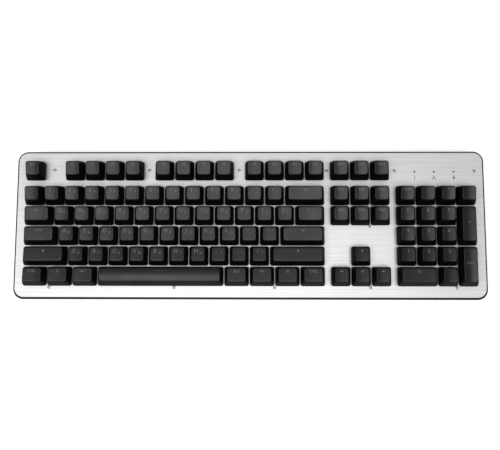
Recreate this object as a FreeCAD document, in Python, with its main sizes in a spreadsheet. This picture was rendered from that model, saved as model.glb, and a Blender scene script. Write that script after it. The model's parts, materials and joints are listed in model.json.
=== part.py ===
import FreeCAD, Part
import math
import os

# A full-size keyboard with plunger switches, in millimetres.
#
# X runs along the keyboard to the right, Y from the typist to the rear, Z up.  The origin is on the
# desk under the middle.  Everything but the feet and pads is modelled in the deck frame, whose origin is
# the middle of the top plate's front edge, on its upper face, and which leans back by the deck angle.

SIZES = {
    # the deck and its plate
    "deck_angle": 4.0,
    "side_margin": 9.1875,
    "front_margin": 10.2,
    "rear_margin": 8.9,
    "plate_thickness": 1.5,
    "plate_corner": 8.5,
    # the case under it
    "rim_width": 1.3,
    "front_rim": 2.2,
    "rim_drop": 0.3,
    "plate_clearance": 0.1,
    "case_front_height": 15.5,
    "case_wall": 3.2,
    "case_floor": 2.5,
    "boss_diameter": 4.4,
    # the key field
    "key_pitch": 19.05,
    "row_gap_units": 0.25,
    "cap_gap": 0.95,
    "cap_rest": 5.2,
    "cap_side_taper": 2.8,
    "cap_front_taper": 4.2,
    "cap_rear_taper": 0.8,
    "cap_corner": 1.4,
    "cap_wall": 1.2,
    "cap_roof": 1.6,
    "dish_depth": 0.8,
    "function_height": 10.4,
    "function_tilt": 10.0,
    "number_height": 10.4,
    "number_tilt": 9.0,
    "upper_height": 8.9,
    "upper_tilt": 4.5,
    "home_height": 8.4,
    "home_tilt": 0.0,
    "lower_height": 8.6,
    "lower_tilt": -5.0,
    "bottom_height": 8.9,
    "bottom_tilt": -6.0,
    "space_crown_radius": 26.0,
    "space_crown_spare": 0.5,
    # the plunger switches
    "switch_body": 13.9,
    "cutout_clearance": 0.05,
    "switch_flange": 15.6,
    "flange_height": 1.0,
    "switch_depth": 5.0,
    "switch_floor": 1.2,
    "switch_well_width": 9.0,
    "switch_well_depth": 7.6,
    "cover_base": 15.0,
    "cover_height": 6.6,
    "cover_top_width": 11.0,
    "cover_top_depth": 9.2,
    "cover_wall": 1.0,
    "locating_post": 3.8,
    "neck_width": 7.2,
    "neck_depth": 5.6,
    "neck_clearance": 0.15,
    "shoulder_width": 7.8,
    "shoulder_depth": 6.4,
    "shoulder_top": 5.2,
    "slider_bottom": 0.6,
    "key_travel": 4.0,
    "cross_span": 4.0,
    "cross_blade": 1.1,
    "cross_height": 3.6,
    "socket_clearance": 0.05,
    "socket_end_gap": 0.2,
    "cap_post": 5.5,
    "cap_post_gap": 0.1,
    "spring_outer": 4.4,
    "spring_inner": 3.6,
    "spring_room": 0.2,
    "spring_bore_top": 4.6,
    "spring_pin": 3.0,
    # the stabilizers under the long keys
    "stabilizer_spread": 11.94,
    "space_spread": 50.0,
    "stabilizer_width": 6.8,
    "stabilizer_length": 12.0,
    "stabilizer_above": 2.4,
    "stabilizer_below": 4.5,
    "stabilizer_floor": 0.5,
    "stabilizer_well_width": 5.0,
    "stabilizer_well_depth": 5.6,
    "stem_width": 4.4,
    "stem_depth": 5.0,
    "stem_bottom": 0.4,
    "wire_diameter": 1.6,
    "wire_tip": 1.4,
    "wire_offset": 8.0,
    "wire_level": 2.6,
    # the board and what is on it
    "board_thickness": 1.6,
    "board_edge_gap": 4.5,
    "board_hole_clearance": 0.3,
    "chip_side": 9.0,
    "chip_height": 1.1,
    "diode_length": 2.7,
    "diode_width": 1.5,
    "diode_height": 1.0,
    "diode_left": 4.8,
    "diode_behind": 3.8,
    "lens_diameter": 1.6,
    "lens_stand": 0.2,
    "light_side": 1.8,
    "light_height": 0.8,
    # fasteners
    "screw_shank": 1.9,
    "screw_length": 7.0,
    "screw_head": 3.2,
    "screw_head_height": 0.8,
    "thread_clearance": 0.02,
    "screw_tip_room": 0.5,
    "screw_hole_clearance": 0.15,
    # the socket in the rear wall
    "socket_width": 9.0,
    "socket_height": 3.3,
    "socket_depth": 7.4,
    "socket_shell": 0.35,
    "socket_tongue": 0.7,
    "socket_offset": -60.0,
    "socket_slot_clearance": 0.1,
    # what the case stands on
    "pad_stand": 1.5,
    "pad_seat": 0.5,
    "pad_length": 28.0,
    "pad_width": 8.0,
    "pad_end_inset": 12.0,
    "pad_edge_inset": 6.0,
    # the two flip-out feet
    "foot_inset": 62.0,
    "foot_width": 24.0,
    "foot_length": 15.0,
    "foot_thickness": 3.2,
    "foot_clearance": 0.4,
    "foot_axis_from_rear": 12.0,
    "foot_well_roof": 1.5,
    "foot_well_wall": 3.0,
    "foot_finger_room": 6.0,
    "foot_tip": 1.2,
    "foot_tip_inset": 3.0,
    "pin_diameter": 2.0,
    "pin_length": 1.6,
    "pin_clearance": 0.06,
    "pin_end_gap": 0.2,
}

# Each row of keys: how many units its front edge is from the front of the field, and its profile.
ROWS = {
    "bottom": 0.0,
    "lower": 1.0,
    "home": 2.0,
    "upper": 3.0,
    "number": 4.0,
    "function": 5.0,
}

FIELD_UNITS = 22.5

# Runs of keys side by side: row, first column in units, and each key's width in units.
KEY_RUNS = {
    "escape_key": [("function", 0.0, [1.0])],
    "f1_to_f4_keys": [("function", 2.0, [1.0] * 4)],
    "f5_to_f8_keys": [("function", 6.5, [1.0] * 4)],
    "f9_to_f12_keys": [("function", 11.0, [1.0] * 4)],
    "system_keys": [("function", 15.25, [1.0] * 3)],
    "number_keys_left": [("number", 0.0, [1.0] * 7)],
    "number_keys_right": [("number", 7.0, [1.0] * 6)],
    "backspace_key": [("number", 13.0, [2.0])],
    "navigation_keys": [("number", 15.25, [1.0] * 3), ("upper", 15.25, [1.0] * 3)],
    "numpad_operator_keys": [("number", 18.5, [1.0] * 4)],
    "tab_key": [("upper", 0.0, [1.5])],
    "upper_letter_keys_left": [("upper", 1.5, [1.0] * 5)],
    "upper_letter_keys_right": [("upper", 6.5, [1.0] * 7)],
    "backslash_key": [("upper", 13.5, [1.5])],
    "caps_lock_key": [("home", 0.0, [1.75])],
    "home_letter_keys_left": [("home", 1.75, [1.0] * 5)],
    "home_letter_keys_right": [("home", 6.75, [1.0] * 6)],
    "enter_key": [("home", 12.75, [2.25])],
    "left_shift_key": [("lower", 0.0, [2.25])],
    "lower_letter_keys_left": [("lower", 2.25, [1.0] * 5)],
    "lower_letter_keys_right": [("lower", 7.25, [1.0] * 5)],
    "right_shift_key": [("lower", 12.25, [2.75])],
    "arrow_up_key": [("lower", 16.25, [1.0])],
    "left_control_key": [("bottom", 0.0, [1.25])],
    "left_system_key": [("bottom", 1.25, [1.25])],
    "left_alt_key": [("bottom", 2.5, [1.25])],
    "space_bar": [("bottom", 3.75, [6.25])],
    "right_alt_key": [("bottom", 10.0, [1.25])],
    "function_key": [("bottom", 11.25, [1.25])],
    "menu_key": [("bottom", 12.5, [1.25])],
    "right_control_key": [("bottom", 13.75, [1.25])],
    "arrow_left_key": [("bottom", 15.25, [1.0])],
    "arrow_down_key": [("bottom", 16.25, [1.0])],
    "arrow_right_key": [("bottom", 17.25, [1.0])],
    "numpad_zero_key": [("bottom", 18.5, [2.0])],
    "numpad_point_key": [("bottom", 20.5, [1.0])],
    "numpad_digit_keys": [
        ("upper", 18.5, [1.0] * 3),
        ("home", 18.5, [1.0] * 3),
        ("lower", 18.5, [1.0] * 3),
    ],
}

# Keys two rows deep, on the right of the number pad: the row that each starts in.
TALL_KEYS = {"numpad_enter_key": "bottom", "numpad_plus_key": "home"}
TALL_COLUMN = 21.5
TALL_UNITS = 2.0

# A key at least this wide, in units, has a stabilizer at each end.
STABILIZED_FROM = 2.0
SPACE_FROM = 6.0

# Screws through the plate: column in units from the left, and row in units from the front of the field.
PLATE_SCREWS = [
    (1.36, 5.84), (6.19, 5.83), (10.73, 5.83), (15.13, 5.8), (18.55, 5.8), (22.55, 5.78),
    (9.5, 4.0), (4.75, 3.0), (8.75, 3.0), (17.25, 3.0),
    (1.25, -0.05), (7.5, -0.05), (12.5, -0.05), (17.25, -0.05), (21.5, -0.05),
]

# The three state lamps above the number pad: column in units, all on one line.
LAMP_COLUMNS = [19.58, 20.55, 21.54]
LAMP_ROW = 5.75

# The controller is under the board, between the main keys and the number pad.
CHIP_COLUMN = 18.375
CHIP_ROW = 4.75

# How far, in millimetres, a cutting shape runs past what it cuts.
SPARE = 10.0

X_AXIS = FreeCAD.Vector(1, 0, 0)
Y_AXIS = FreeCAD.Vector(0, 1, 0)
Z_AXIS = FreeCAD.Vector(0, 0, 1)

doc = FreeCAD.newDocument("keyboard")
sheet = doc.addObject("Spreadsheet::Sheet", "Sizes")
for line, (alias, value) in enumerate(SIZES.items(), start=1):
    sheet.set(f"A{line}", alias)
    sheet.set(f"B{line}", str(value))
    sheet.setAlias(f"B{line}", alias)
doc.recompute()


def size(alias):
    """The number that the sheet holds under an alias."""
    return float(sheet.get(alias))


def worded(expression):
    """The same expression with each alias written as a cell of the sheet."""
    words = []
    word = ""
    for letter in str(expression) + " ":
        if letter.isalnum() or letter in "_.":
            word += letter
            continue
        words.append("Sizes." + word if word in SIZES else word)
        words.append(letter)
        word = ""
    return "".join(words).strip()


def bind(item, **expressions):
    """Tie properties of an object to sizes in the sheet."""
    for name, expression in expressions.items():
        item.setExpression(name, worded(expression))
    return item


def put(item, x="0", y="0", z="0", turn=0.0, about=X_AXIS):
    """Place an object with its position tied to the sheet."""
    item.Placement = FreeCAD.Placement(FreeCAD.Vector(), FreeCAD.Rotation(about, turn))
    for letter, expression in zip("xyz", (x, y, z)):
        item.setExpression(f".Placement.Base.{letter}", worded(expression))
    return item


def box(name, length, width, height, x="0", y="0", z="0", turn=0.0):
    """A block whose near left lower corner is at x, y, z."""
    item = bind(doc.addObject("Part::Box", name), Length=length, Width=width, Height=height)
    return put(item, x, y, z, turn)


def centred_box(name, length, width, height, x="0", y="0", z="0"):
    """A block that stands on z with its middle over x, y."""
    return box(name, length, width, height, f"({x}) - ({length}) / 2", f"({y}) - ({width}) / 2", z)


def cylinder(name, diameter, height, x="0", y="0", z="0", turn=0.0):
    """A cylinder that stands on x, y, z."""
    item = bind(doc.addObject("Part::Cylinder", name), Radius=f"({diameter}) / 2", Height=height)
    return put(item, x, y, z, turn)


def cut(name, base, tool):
    """The base without the tool."""
    item = doc.addObject("Part::Cut", name)
    item.Base = base
    item.Tool = tool
    return item


def common(name, base, tool):
    """What the base and the tool share."""
    item = doc.addObject("Part::Common", name)
    item.Base = base
    item.Tool = tool
    return item


def fuse(name, items):
    """Several objects as one."""
    item = doc.addObject("Part::MultiFuse", name)
    item.Shapes = items
    item.Refine = True
    return item


def rounded(name, base, radius):
    """The base with its upright edges rounded."""
    doc.recompute()
    item = doc.addObject("Part::Fillet", name)
    item.Base = base
    edges = []
    for number, edge in enumerate(base.Shape.Edges, start=1):
        ends = [vertex.Point for vertex in edge.Vertexes]
        if len(ends) == 2 and abs(ends[0].z - ends[1].z) > 1e-6:
            edges.append((number, radius, radius))
    item.Edges = edges
    return item


def rounded_block(name, length, width, height, radius, y, z):
    """A block with rounded upright edges, its middle on X = 0 and its front edge at y."""
    block = box(name + "_block", length, width, height, f"-({length}) / 2", y, z)
    return rounded(name, block, radius)


def tapered(name, base_width, base_depth, top_width, top_front, top_rear, height, z="0"):
    """A block with sloping sides on z: the top runs from top_front to top_rear along Y."""
    item = doc.addObject("Part::Wedge", name)
    bind(item, Xmin=f"-({base_width}) / 2", Xmax=f"({base_width}) / 2")
    bind(item, Zmin=f"-({base_depth}) / 2", Zmax=f"({base_depth}) / 2")
    bind(item, X2min=f"-({top_width}) / 2", X2max=f"({top_width}) / 2")
    bind(item, Z2min=f"-({top_rear})", Z2max=f"-({top_front})")
    bind(item, Ymin="0 * key_pitch", Ymax=height)
    return put(item, z=z, turn=90.0)


def collection(name, shapes):
    """Loose solids as one object."""
    item = doc.addObject("Part::Feature", name)
    item.Shape = Part.Compound(shapes)
    return item


def copies(master, spots, turns=None):
    """The master's solids at each spot, turned about Z where turns are given."""
    doc.recompute()
    shapes = []
    for number, spot in enumerate(spots):
        turn = turns[number] if turns else 0.0
        placed = FreeCAD.Placement(FreeCAD.Vector(*spot), FreeCAD.Rotation(Z_AXIS, turn))
        for solid in master.Shape.Solids:
            shapes.append(solid.transformed(placed.toMatrix(), copy=True))
    return shapes


# ---------------------------------------------------------------------------------------------------
# Where things are

pitch = size("key_pitch")
row_gap = size("row_gap_units")
field_units = ROWS["function"] + 1.0 + row_gap
PLATE_DEPTH = f"(front_margin + rear_margin + {field_units} * key_pitch)"
PLATE_WIDTH = f"({FIELD_UNITS} * key_pitch + 2 * side_margin)"
plate_depth = size("front_margin") + size("rear_margin") + field_units * pitch
side_edge = FIELD_UNITS * pitch / 2 + size("side_margin")
deck_radians = math.radians(size("deck_angle"))


def row_front(row):
    """How many units a row's front edge is from the front of the field."""
    return ROWS[row] + (row_gap if row == "function" else 0.0)


def deck_point(column, units, z=0.0):
    """A point of the deck from a column and a row, both in units."""
    return ((column - FIELD_UNITS / 2) * pitch, size("front_margin") + units * pitch, z)


underside_drop = size("case_front_height") * math.cos(deck_radians)
case_reach = size("case_front_height") + (plate_depth + size("rim_width")) * math.tan(deck_radians)
rear_edge = (plate_depth + size("rim_width")) * math.cos(deck_radians) + case_reach * math.sin(deck_radians)
front_edge = -size("front_rim") * math.cos(deck_radians) + size("rim_drop") * math.sin(deck_radians)
DECK = FreeCAD.Placement(
    FreeCAD.Vector(0, -(front_edge + rear_edge) / 2, size("pad_stand") + underside_drop),
    FreeCAD.Rotation(X_AXIS, size("deck_angle")),
)


class Key:
    """One key: its place on the deck, its size in units and its row's profile."""

    def __init__(self, node, row, column, width, depth=1.0):
        self.node = node
        self.row = row
        self.width = width
        self.depth = depth
        self.place = deck_point(column + width / 2, row_front(row) + depth / 2)
        self.tall = depth > 1.0
        self.stabilized = width >= STABILIZED_FROM or self.tall
        self.spread = "space_spread" if width >= SPACE_FROM else "stabilizer_spread"

    def turn(self):
        """Keys two rows deep have their stabilizers along Y."""
        return 90.0 if self.tall else 0.0

    def kind(self):
        """The name of this key's cap shape."""
        units = self.depth if self.tall else self.width
        shape = "tall" if self.tall else self.row
        return f"{shape}_{int(units * 100)}"


keys = []
for node, runs in KEY_RUNS.items():
    for row, column, widths in runs:
        for width in widths:
            keys.append(Key(node, row, column, width))
            column += width
for node, row in TALL_KEYS.items():
    keys.append(Key(node, row, TALL_COLUMN, 1.0, TALL_UNITS))


# ---------------------------------------------------------------------------------------------------
# Key caps


def crown(name, body, height):
    """The space bar's arched top: what lies inside a long cylinder along X."""
    arch = cylinder(name + "_arch", "2 * space_crown_radius", "space_spread * 4", "-space_spread * 2",
                    "0", f"{height} - space_crown_radius")
    arch.Placement.Rotation = FreeCAD.Rotation(Y_AXIS, 90.0)
    return common(name + "_crowned", body, arch)


def dished(name, body, width, depth, height, tilt):
    """A cap body cut off along a leaning plane and hollowed by a cylinder along the key."""
    reach = f"(1.5 * {depth})"
    lean = f"{tilt}"
    level = size(tilt) if tilt in SIZES else 0.0
    trim = box(name + "_trim", f"{width} + {SPARE}", reach, SPARE, f"-({width} + {SPARE}) / 2",
               f"-{reach} / 2 * cos({lean})", f"{height} - {reach} / 2 * sin({lean})", level)
    top = f"({width} - 2 * cap_side_taper)"
    radius = f"(({top} * {top} / 4 + dish_depth * dish_depth) / (2 * dish_depth))"
    lift = f"({radius} - dish_depth)"
    dish = cylinder(name + "_dish", f"2 * {radius}", reach, "0",
                    f"-sin({lean}) * {lift} - {reach} / 2 * cos({lean})",
                    f"{height} + cos({lean}) * {lift} - {reach} / 2 * sin({lean})", level - 90.0)
    return cut(name + "_dished", cut(name + "_trimmed", body, trim), dish)


def keycap(key):
    """A hollow cap, its lower edge on z = 0, with a cross socket for each plunger."""
    name = "cap_" + key.kind()
    width = f"({key.width} * key_pitch - cap_gap)"
    depth = f"({key.depth} * key_pitch - cap_gap)"
    height = "home_height" if key.tall else f"{key.row}_height"
    tilt = "0" if key.tall else f"{key.row}_tilt"
    space = key.width >= SPACE_FROM
    rise = "space_crown_spare" if space else f"(tan(abs({tilt})) * {depth} / 2)"
    full = f"({height} + {rise})"
    outside = tapered(name + "_outside", width, depth, f"{width} - 2 * cap_side_taper",
                      f"-{depth} / 2 + cap_front_taper", f"{depth} / 2 - cap_rear_taper", full)
    body = rounded(name + "_body", outside, size("cap_corner"))
    shell = crown(name, body, height) if space else dished(name, body, width, depth, height, tilt)
    ceiling = f"({height} - dish_depth - cap_roof - 2 / 3 * {rise})"
    share = f"{ceiling} / {full}"
    inside = tapered(name + "_inside", f"{width} - 2 * cap_wall", f"{depth} - 2 * cap_wall",
                     f"{width} - 2 * cap_wall - 2 * cap_side_taper * {share}",
                     f"-{depth} / 2 + cap_wall + cap_front_taper * {share}",
                     f"{depth} / 2 - cap_wall - cap_rear_taper * {share}", ceiling)
    hollow = cut(name + "_hollow", shell, inside)
    spots = [("0", "0")]
    if key.stabilized:
        for sign in ("-", ""):
            spots.append(("0", sign + key.spread) if key.tall else (sign + key.spread, "0"))
    base = "(cover_height - cap_rest + cap_post_gap)"
    end = "(cover_height + cross_height + socket_end_gap - cap_rest)"
    span = "(cross_span + 2 * socket_clearance)"
    blade = "(cross_blade + 2 * socket_clearance)"
    posts = []
    crosses = []
    for number, (x, y) in enumerate(spots):
        tag = f"{name}_{number}"
        posts.append(cylinder(tag + "_post", "cap_post", f"{ceiling} - {base} + cap_roof / 4", x, y, base))
        crosses.append(centred_box(tag + "_slot", span, blade, f"{end} - {base}", x, y, base))
        crosses.append(centred_box(tag + "_cross", blade, span, f"{end} - {base}", x, y, base))
    return cut(name, fuse(name + "_posted", [hollow] + posts), fuse(name + "_sockets", crosses))


# ---------------------------------------------------------------------------------------------------
# Plungers, housings and springs


def cross(name, floor):
    """The cross that a cap presses onto, standing on a plunger's flat top."""
    along = centred_box(name + "_along", "cross_span", "cross_blade", "cross_height", z=floor)
    across = centred_box(name + "_across", "cross_blade", "cross_span", "cross_height", z=floor)
    return [along, across]


def switch_slider():
    """A switch's plunger: shoulder, neck and cross, bored from below for the spring."""
    shoulder = centred_box("slider_shoulder", "shoulder_width", "shoulder_depth",
                           "shoulder_top - slider_bottom", z="slider_bottom")
    neck = centred_box("slider_neck", "neck_width", "neck_depth", "cover_height - shoulder_top",
                       z="shoulder_top")
    solid = fuse("slider_solid", [shoulder, neck] + cross("slider", "cover_height"))
    bore = cylinder("slider_bore", "spring_outer + 2 * spring_room", "spring_bore_top - slider_bottom",
                    z="slider_bottom")
    return cut("slider", solid, bore)


def stabilizer_stem():
    """A stabilizer's plunger, without a spring."""
    block = centred_box("stem_block", "stem_width", "stem_depth", "cover_height - stem_bottom",
                        z="stem_bottom")
    return fuse("stem", [block] + cross("stem", "cover_height"))


def lower_housing():
    """The half of a switch that snaps into the plate and stands on the board."""
    body = centred_box("lower_body", "switch_body", "switch_body", "switch_depth", z="-switch_depth")
    flange = centred_box("lower_flange", "switch_flange", "switch_flange", "flange_height")
    post = cylinder("lower_post", "locating_post", "board_thickness", z="-switch_depth - board_thickness")
    well = centred_box("lower_well", "switch_well_width", "switch_well_depth",
                       "switch_depth + flange_height - switch_floor", z="switch_floor - switch_depth")
    pin = cylinder("lower_pin", "spring_pin", "key_travel / 2", z="switch_floor - switch_depth")
    shell = cut("lower_shell", fuse("lower_solid", [body, flange, post]), well)
    return fuse("lower", [shell, pin])


def upper_housing():
    """The cover of a switch, with the window that its plunger's neck runs in."""
    rise = "(cover_height - flange_height)"
    outside = tapered("cover_outside", "cover_base", "cover_base", "cover_top_width",
                      "-cover_top_depth / 2", "cover_top_depth / 2", rise, "flange_height")
    inside = tapered("cover_inside", "cover_base - 2 * cover_wall", "cover_base - 2 * cover_wall",
                     "cover_top_width - 2 * cover_wall", "cover_wall - cover_top_depth / 2",
                     "cover_top_depth / 2 - cover_wall", f"{rise} - cover_wall", "flange_height")
    window = centred_box("cover_window", "neck_width + 2 * neck_clearance",
                         "neck_depth + 2 * neck_clearance", rise, z="flange_height")
    return cut("cover", cut("cover_shell", outside, inside), window)


def switch_spring():
    """A spring at its pressed length, as a sleeve round its pin."""
    height = "(switch_depth - switch_floor + spring_bore_top - key_travel - spring_room / 2)"
    outside = cylinder("spring_outside", "spring_outer", height, z="switch_floor - switch_depth")
    inside = cylinder("spring_inside", "spring_inner", height, z="switch_floor - switch_depth")
    return cut("spring", outside, inside)


def stabilizer_housing():
    """The guide of one stabilizer plunger, with a hole for its wire in the rear wall."""
    tall = "(stabilizer_above + stabilizer_below)"
    body = centred_box("guide_body", "stabilizer_width", "stabilizer_length", tall, z="-stabilizer_below")
    well = centred_box("guide_well", "stabilizer_well_width", "stabilizer_well_depth", tall,
                       z="stabilizer_floor - stabilizer_below")
    hole = cylinder("guide_hole", "wire_tip + 2 * socket_clearance", "stabilizer_length / 2",
                    y="stabilizer_length / 2", z="-wire_level", turn=90.0)
    return cut("guide", cut("guide_shell", body, well), hole)


def stabilizer_wire(name, spread):
    """A wire along the rear of a long key, bent forward into both guides."""
    bar = cylinder(name + "_bar", "wire_diameter", f"2 * {spread} + wire_diameter",
                   f"-{spread} - wire_diameter / 2", "wire_offset", "-wire_level")
    bar.Placement.Rotation = FreeCAD.Rotation(Y_AXIS, 90.0)
    reach = "(wire_offset - stabilizer_well_depth / 2)"
    arms = []
    for side, sign in (("left", "-"), ("right", "")):
        arms.append(cylinder(f"{name}_{side}_arm", "wire_tip", reach, sign + spread, "wire_offset",
                             "-wire_level", 90.0))
    return fuse(name, [bar] + arms)


# ---------------------------------------------------------------------------------------------------
# Repeated pieces of the deck

caps = {}
for key in keys:
    if key.kind() not in caps:
        caps[key.kind()] = keycap(key)
slider = switch_slider()
stem = stabilizer_stem()
spots = [key.place for key in keys]
nodes = []


def keep(item, node, placement=DECK):
    """Name a finished piece and put it in its place."""
    item.Label = node
    item.Placement = placement.multiply(item.Placement)
    nodes.append(item)
    return item


def stabilizer_spots(key):
    """Where the two guides of a long key are."""
    reach = size(key.spread)
    x, y, z = key.place
    if key.tall:
        return [(x, y - reach, z), (x, y + reach, z)]
    return [(x - reach, y, z), (x + reach, y, z)]


for node in list(KEY_RUNS) + list(TALL_KEYS):
    solids = []
    for key in [key for key in keys if key.node == node]:
        x, y, z = key.place
        solids += copies(caps[key.kind()], [(x, y, z + size("cap_rest"))])
        solids += copies(slider, [key.place])
        if key.stabilized:
            solids += copies(stem, stabilizer_spots(key), [key.turn()] * 2)
    keep(collection(node, solids), node)

keep(collection("lowers", copies(lower_housing(), spots)), "switch_lower_housings")
keep(collection("uppers", copies(upper_housing(), spots)), "switch_upper_housings")
keep(collection("springs", copies(switch_spring(), spots)), "switch_springs")

guide_spots = []
guide_turns = []
wires = []
wire_masters = {}
for spread in ("stabilizer_spread", "space_spread"):
    wire_masters[spread] = stabilizer_wire("wire_" + spread, spread)
for key in keys:
    if key.stabilized:
        guide_spots += stabilizer_spots(key)
        guide_turns += [key.turn()] * 2
        wires += copies(wire_masters[key.spread], [key.place], [key.turn()])
keep(collection("guides", copies(stabilizer_housing(), guide_spots, guide_turns)), "stabilizer_housings")
keep(collection("wires", wires), "stabilizer_wires")


# ---------------------------------------------------------------------------------------------------
# The plate

screw_spots = [deck_point(column, units) for column, units in PLATE_SCREWS]
lamp_spots = [deck_point(column, LAMP_ROW) for column in LAMP_COLUMNS]
through = "(4 * plate_thickness)"
below = "-2.5 * plate_thickness"

plate_blank = rounded_block("plate_blank", PLATE_WIDTH, PLATE_DEPTH, "plate_thickness",
                            size("plate_corner"), "0", "-plate_thickness")
switch_cutout = centred_box("switch_cutout", "switch_body + 2 * cutout_clearance",
                            "switch_body + 2 * cutout_clearance", through, z=below)
guide_cutout = centred_box("guide_cutout", "stabilizer_width + 2 * cutout_clearance",
                           "stabilizer_length + 2 * cutout_clearance", through, z=below)
screw_cutout = cylinder("screw_cutout", "screw_shank + 2 * screw_hole_clearance", through, z=below)
lamp_cutout = cylinder("lamp_cutout", "lens_diameter + 2 * cutout_clearance", through, z=below)
plate_holes = collection(
    "plate_holes",
    copies(switch_cutout, spots) + copies(guide_cutout, guide_spots, guide_turns)
    + copies(screw_cutout, screw_spots) + copies(lamp_cutout, lamp_spots),
)
keep(cut("plate", plate_blank, plate_holes), "top_plate")


# ---------------------------------------------------------------------------------------------------
# Screws, lamps and the board


def plate_screw():
    """A small pan-head screw, its head on the plate."""
    head = cylinder("screw_head_blank", "screw_head", "screw_head_height")
    shank = cylinder("screw_shank_blank", "screw_shank", "screw_length", z="-screw_length")
    slot = centred_box("screw_slot", "screw_shank", "screw_head_height / 2", "screw_head_height / 2",
                       z="screw_head_height / 2")
    across = centred_box("screw_slot_across", "screw_head_height / 2", "screw_shank",
                         "screw_head_height / 2", z="screw_head_height / 2")
    return cut("screw", fuse("screw_blank", [head, shank]), fuse("screw_recess", [slot, across]))


keep(collection("screws", copies(plate_screw(), screw_spots)), "plate_screws")

BOARD_TOP = "(-switch_depth)"
lens = cylinder("lens", "lens_diameter", "switch_depth - light_height + lens_stand",
                z="light_height - switch_depth")
light = centred_box("light", "light_side", "light_side", "light_height", z=BOARD_TOP)
keep(collection("lenses", copies(lens, lamp_spots)), "indicator_lenses")
keep(collection("lights", copies(light, lamp_spots)), "indicator_lights")

inner_width = f"({PLATE_WIDTH} - 2 * (case_wall - rim_width) - 2 * board_edge_gap)"
inner_depth = f"({PLATE_DEPTH} + rim_width + front_rim - 2 * case_wall - 2 * board_edge_gap)"
board_blank = rounded_block("board_blank", inner_width, inner_depth, "board_thickness",
                            size("plate_corner") / 2, "case_wall - front_rim + board_edge_gap",
                            "-switch_depth - board_thickness")
post_hole = cylinder("post_hole", "locating_post + 2 * cutout_clearance", "3 * board_thickness",
                     z="-switch_depth - 2 * board_thickness")
boss_hole = cylinder("boss_hole", "boss_diameter + 2 * board_hole_clearance", "3 * board_thickness",
                     z="-switch_depth - 2 * board_thickness")
board_holes = collection("board_holes", copies(post_hole, spots) + copies(boss_hole, screw_spots))
keep(cut("board", board_blank, board_holes), "circuit_board")

UNDER_BOARD = "(-switch_depth - board_thickness)"
diode = centred_box("diode", "diode_length", "diode_width", "diode_height", "-diode_left", "diode_behind",
                    f"{UNDER_BOARD} - diode_height")
keep(collection("diodes", copies(diode, spots)), "board_diodes")
chip = centred_box("chip", "chip_side", "chip_side", "chip_height", z=f"{UNDER_BOARD} - chip_height")
keep(collection("chips", copies(chip, [deck_point(CHIP_COLUMN, CHIP_ROW)])), "controller_chip")


# ---------------------------------------------------------------------------------------------------
# The case

case_width = f"({PLATE_WIDTH} + 2 * rim_width)"
case_depth = f"({PLATE_DEPTH} + rim_width + front_rim)"
deep = f"(case_front_height + tan(deck_angle) * {case_depth} + {SPARE})"


def below_floor(name, height):
    """Everything lower than a level plane at a height over the case's underside."""
    fall = f"({deep} / cos(deck_angle))"
    reach = f"({case_depth} + {deep}) * 2"
    wide = f"({case_width} + {SPARE})"
    start = f"(-front_rim - {deep})"
    drop = f"(-case_front_height + ({height}) / cos(deck_angle) - tan(deck_angle) * {start})"
    return box(name, wide, reach, fall, f"-({wide}) / 2", f"{start} - {fall} * sin(deck_angle)",
               f"{drop} - {fall} * cos(deck_angle)", -size("deck_angle"))


case_corner = size("plate_corner") + size("rim_width")
outside = rounded_block("case_outside", case_width, case_depth, f"{deep} - rim_drop", case_corner,
                        "-front_rim", f"-{deep}")
rebate = rounded_block("case_rebate", f"{PLATE_WIDTH} + 2 * plate_clearance",
                       f"{PLATE_DEPTH} + 2 * plate_clearance", "2 * plate_thickness",
                       size("plate_corner") + size("plate_clearance"), "-plate_clearance",
                       "-plate_thickness")
room = rounded_block("case_room", f"{case_width} - 2 * case_wall", f"{case_depth} - 2 * case_wall",
                     deep, case_corner - size("case_wall"), "case_wall - front_rim", f"-{deep}")
hollow = cut("case_hollow", room, below_floor("case_floor_plane", "case_floor"))
boss = cylinder("boss", "boss_diameter", f"{deep} - plate_thickness", z=f"-{deep}")
bosses = collection("bosses", copies(boss, screw_spots))
boss_bore = cylinder("boss_bore", "screw_shank + 2 * thread_clearance", "screw_length + screw_tip_room",
                     z="-screw_length - screw_tip_room")
bores = collection("boss_bores", copies(boss_bore, screw_spots))

# The feet swing in wells in the floor, and their places are level with the desk.
AXIS_HEIGHT = "(pad_stand + foot_clearance + foot_thickness / 2)"
rear_y = rear_edge + DECK.Base.y
axis_y = rear_y - size("foot_axis_from_rear")
WELL_WIDTH = "(foot_width + 2 * foot_clearance)"
WELL_REAR = "(foot_thickness / 2 + foot_clearance)"
WELL_LENGTH = f"(foot_length + foot_tip + {WELL_REAR} + foot_finger_room)"
WELL_HEIGHT = "(foot_thickness + 2 * foot_clearance)"
LEVEL = DECK.inverse()


def foot_centre(side):
    """The middle of a foot's hinge line over the desk."""
    return (side * (side_edge - size("foot_inset")), axis_y, 0.0)


well_block = box("well_block", f"{WELL_WIDTH} + 2 * foot_well_wall", f"{WELL_LENGTH} + 2 * foot_well_wall",
                 f"{WELL_HEIGHT} + foot_well_roof", f"-({WELL_WIDTH} + 2 * foot_well_wall) / 2",
                 f"{WELL_REAR} + foot_well_wall - ({WELL_LENGTH} + 2 * foot_well_wall)", "pad_stand")
well = box("well", WELL_WIDTH, WELL_LENGTH, f"{WELL_HEIGHT} + 1", f"-{WELL_WIDTH} / 2",
           f"{WELL_REAR} - {WELL_LENGTH}", "pad_stand - 1")
pin_hole = cylinder("pin_hole", "pin_diameter + 2 * pin_clearance",
                    f"{WELL_WIDTH} + 2 * pin_length", f"-({WELL_WIDTH} + 2 * pin_length) / 2", "0",
                    AXIS_HEIGHT)
pin_hole.Placement.Rotation = FreeCAD.Rotation(Y_AXIS, 90.0)
foot_spots = [foot_centre(-1), foot_centre(1)]
well_blocks = collection("well_blocks", copies(well_block, foot_spots))
well_blocks.Placement = LEVEL
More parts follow.
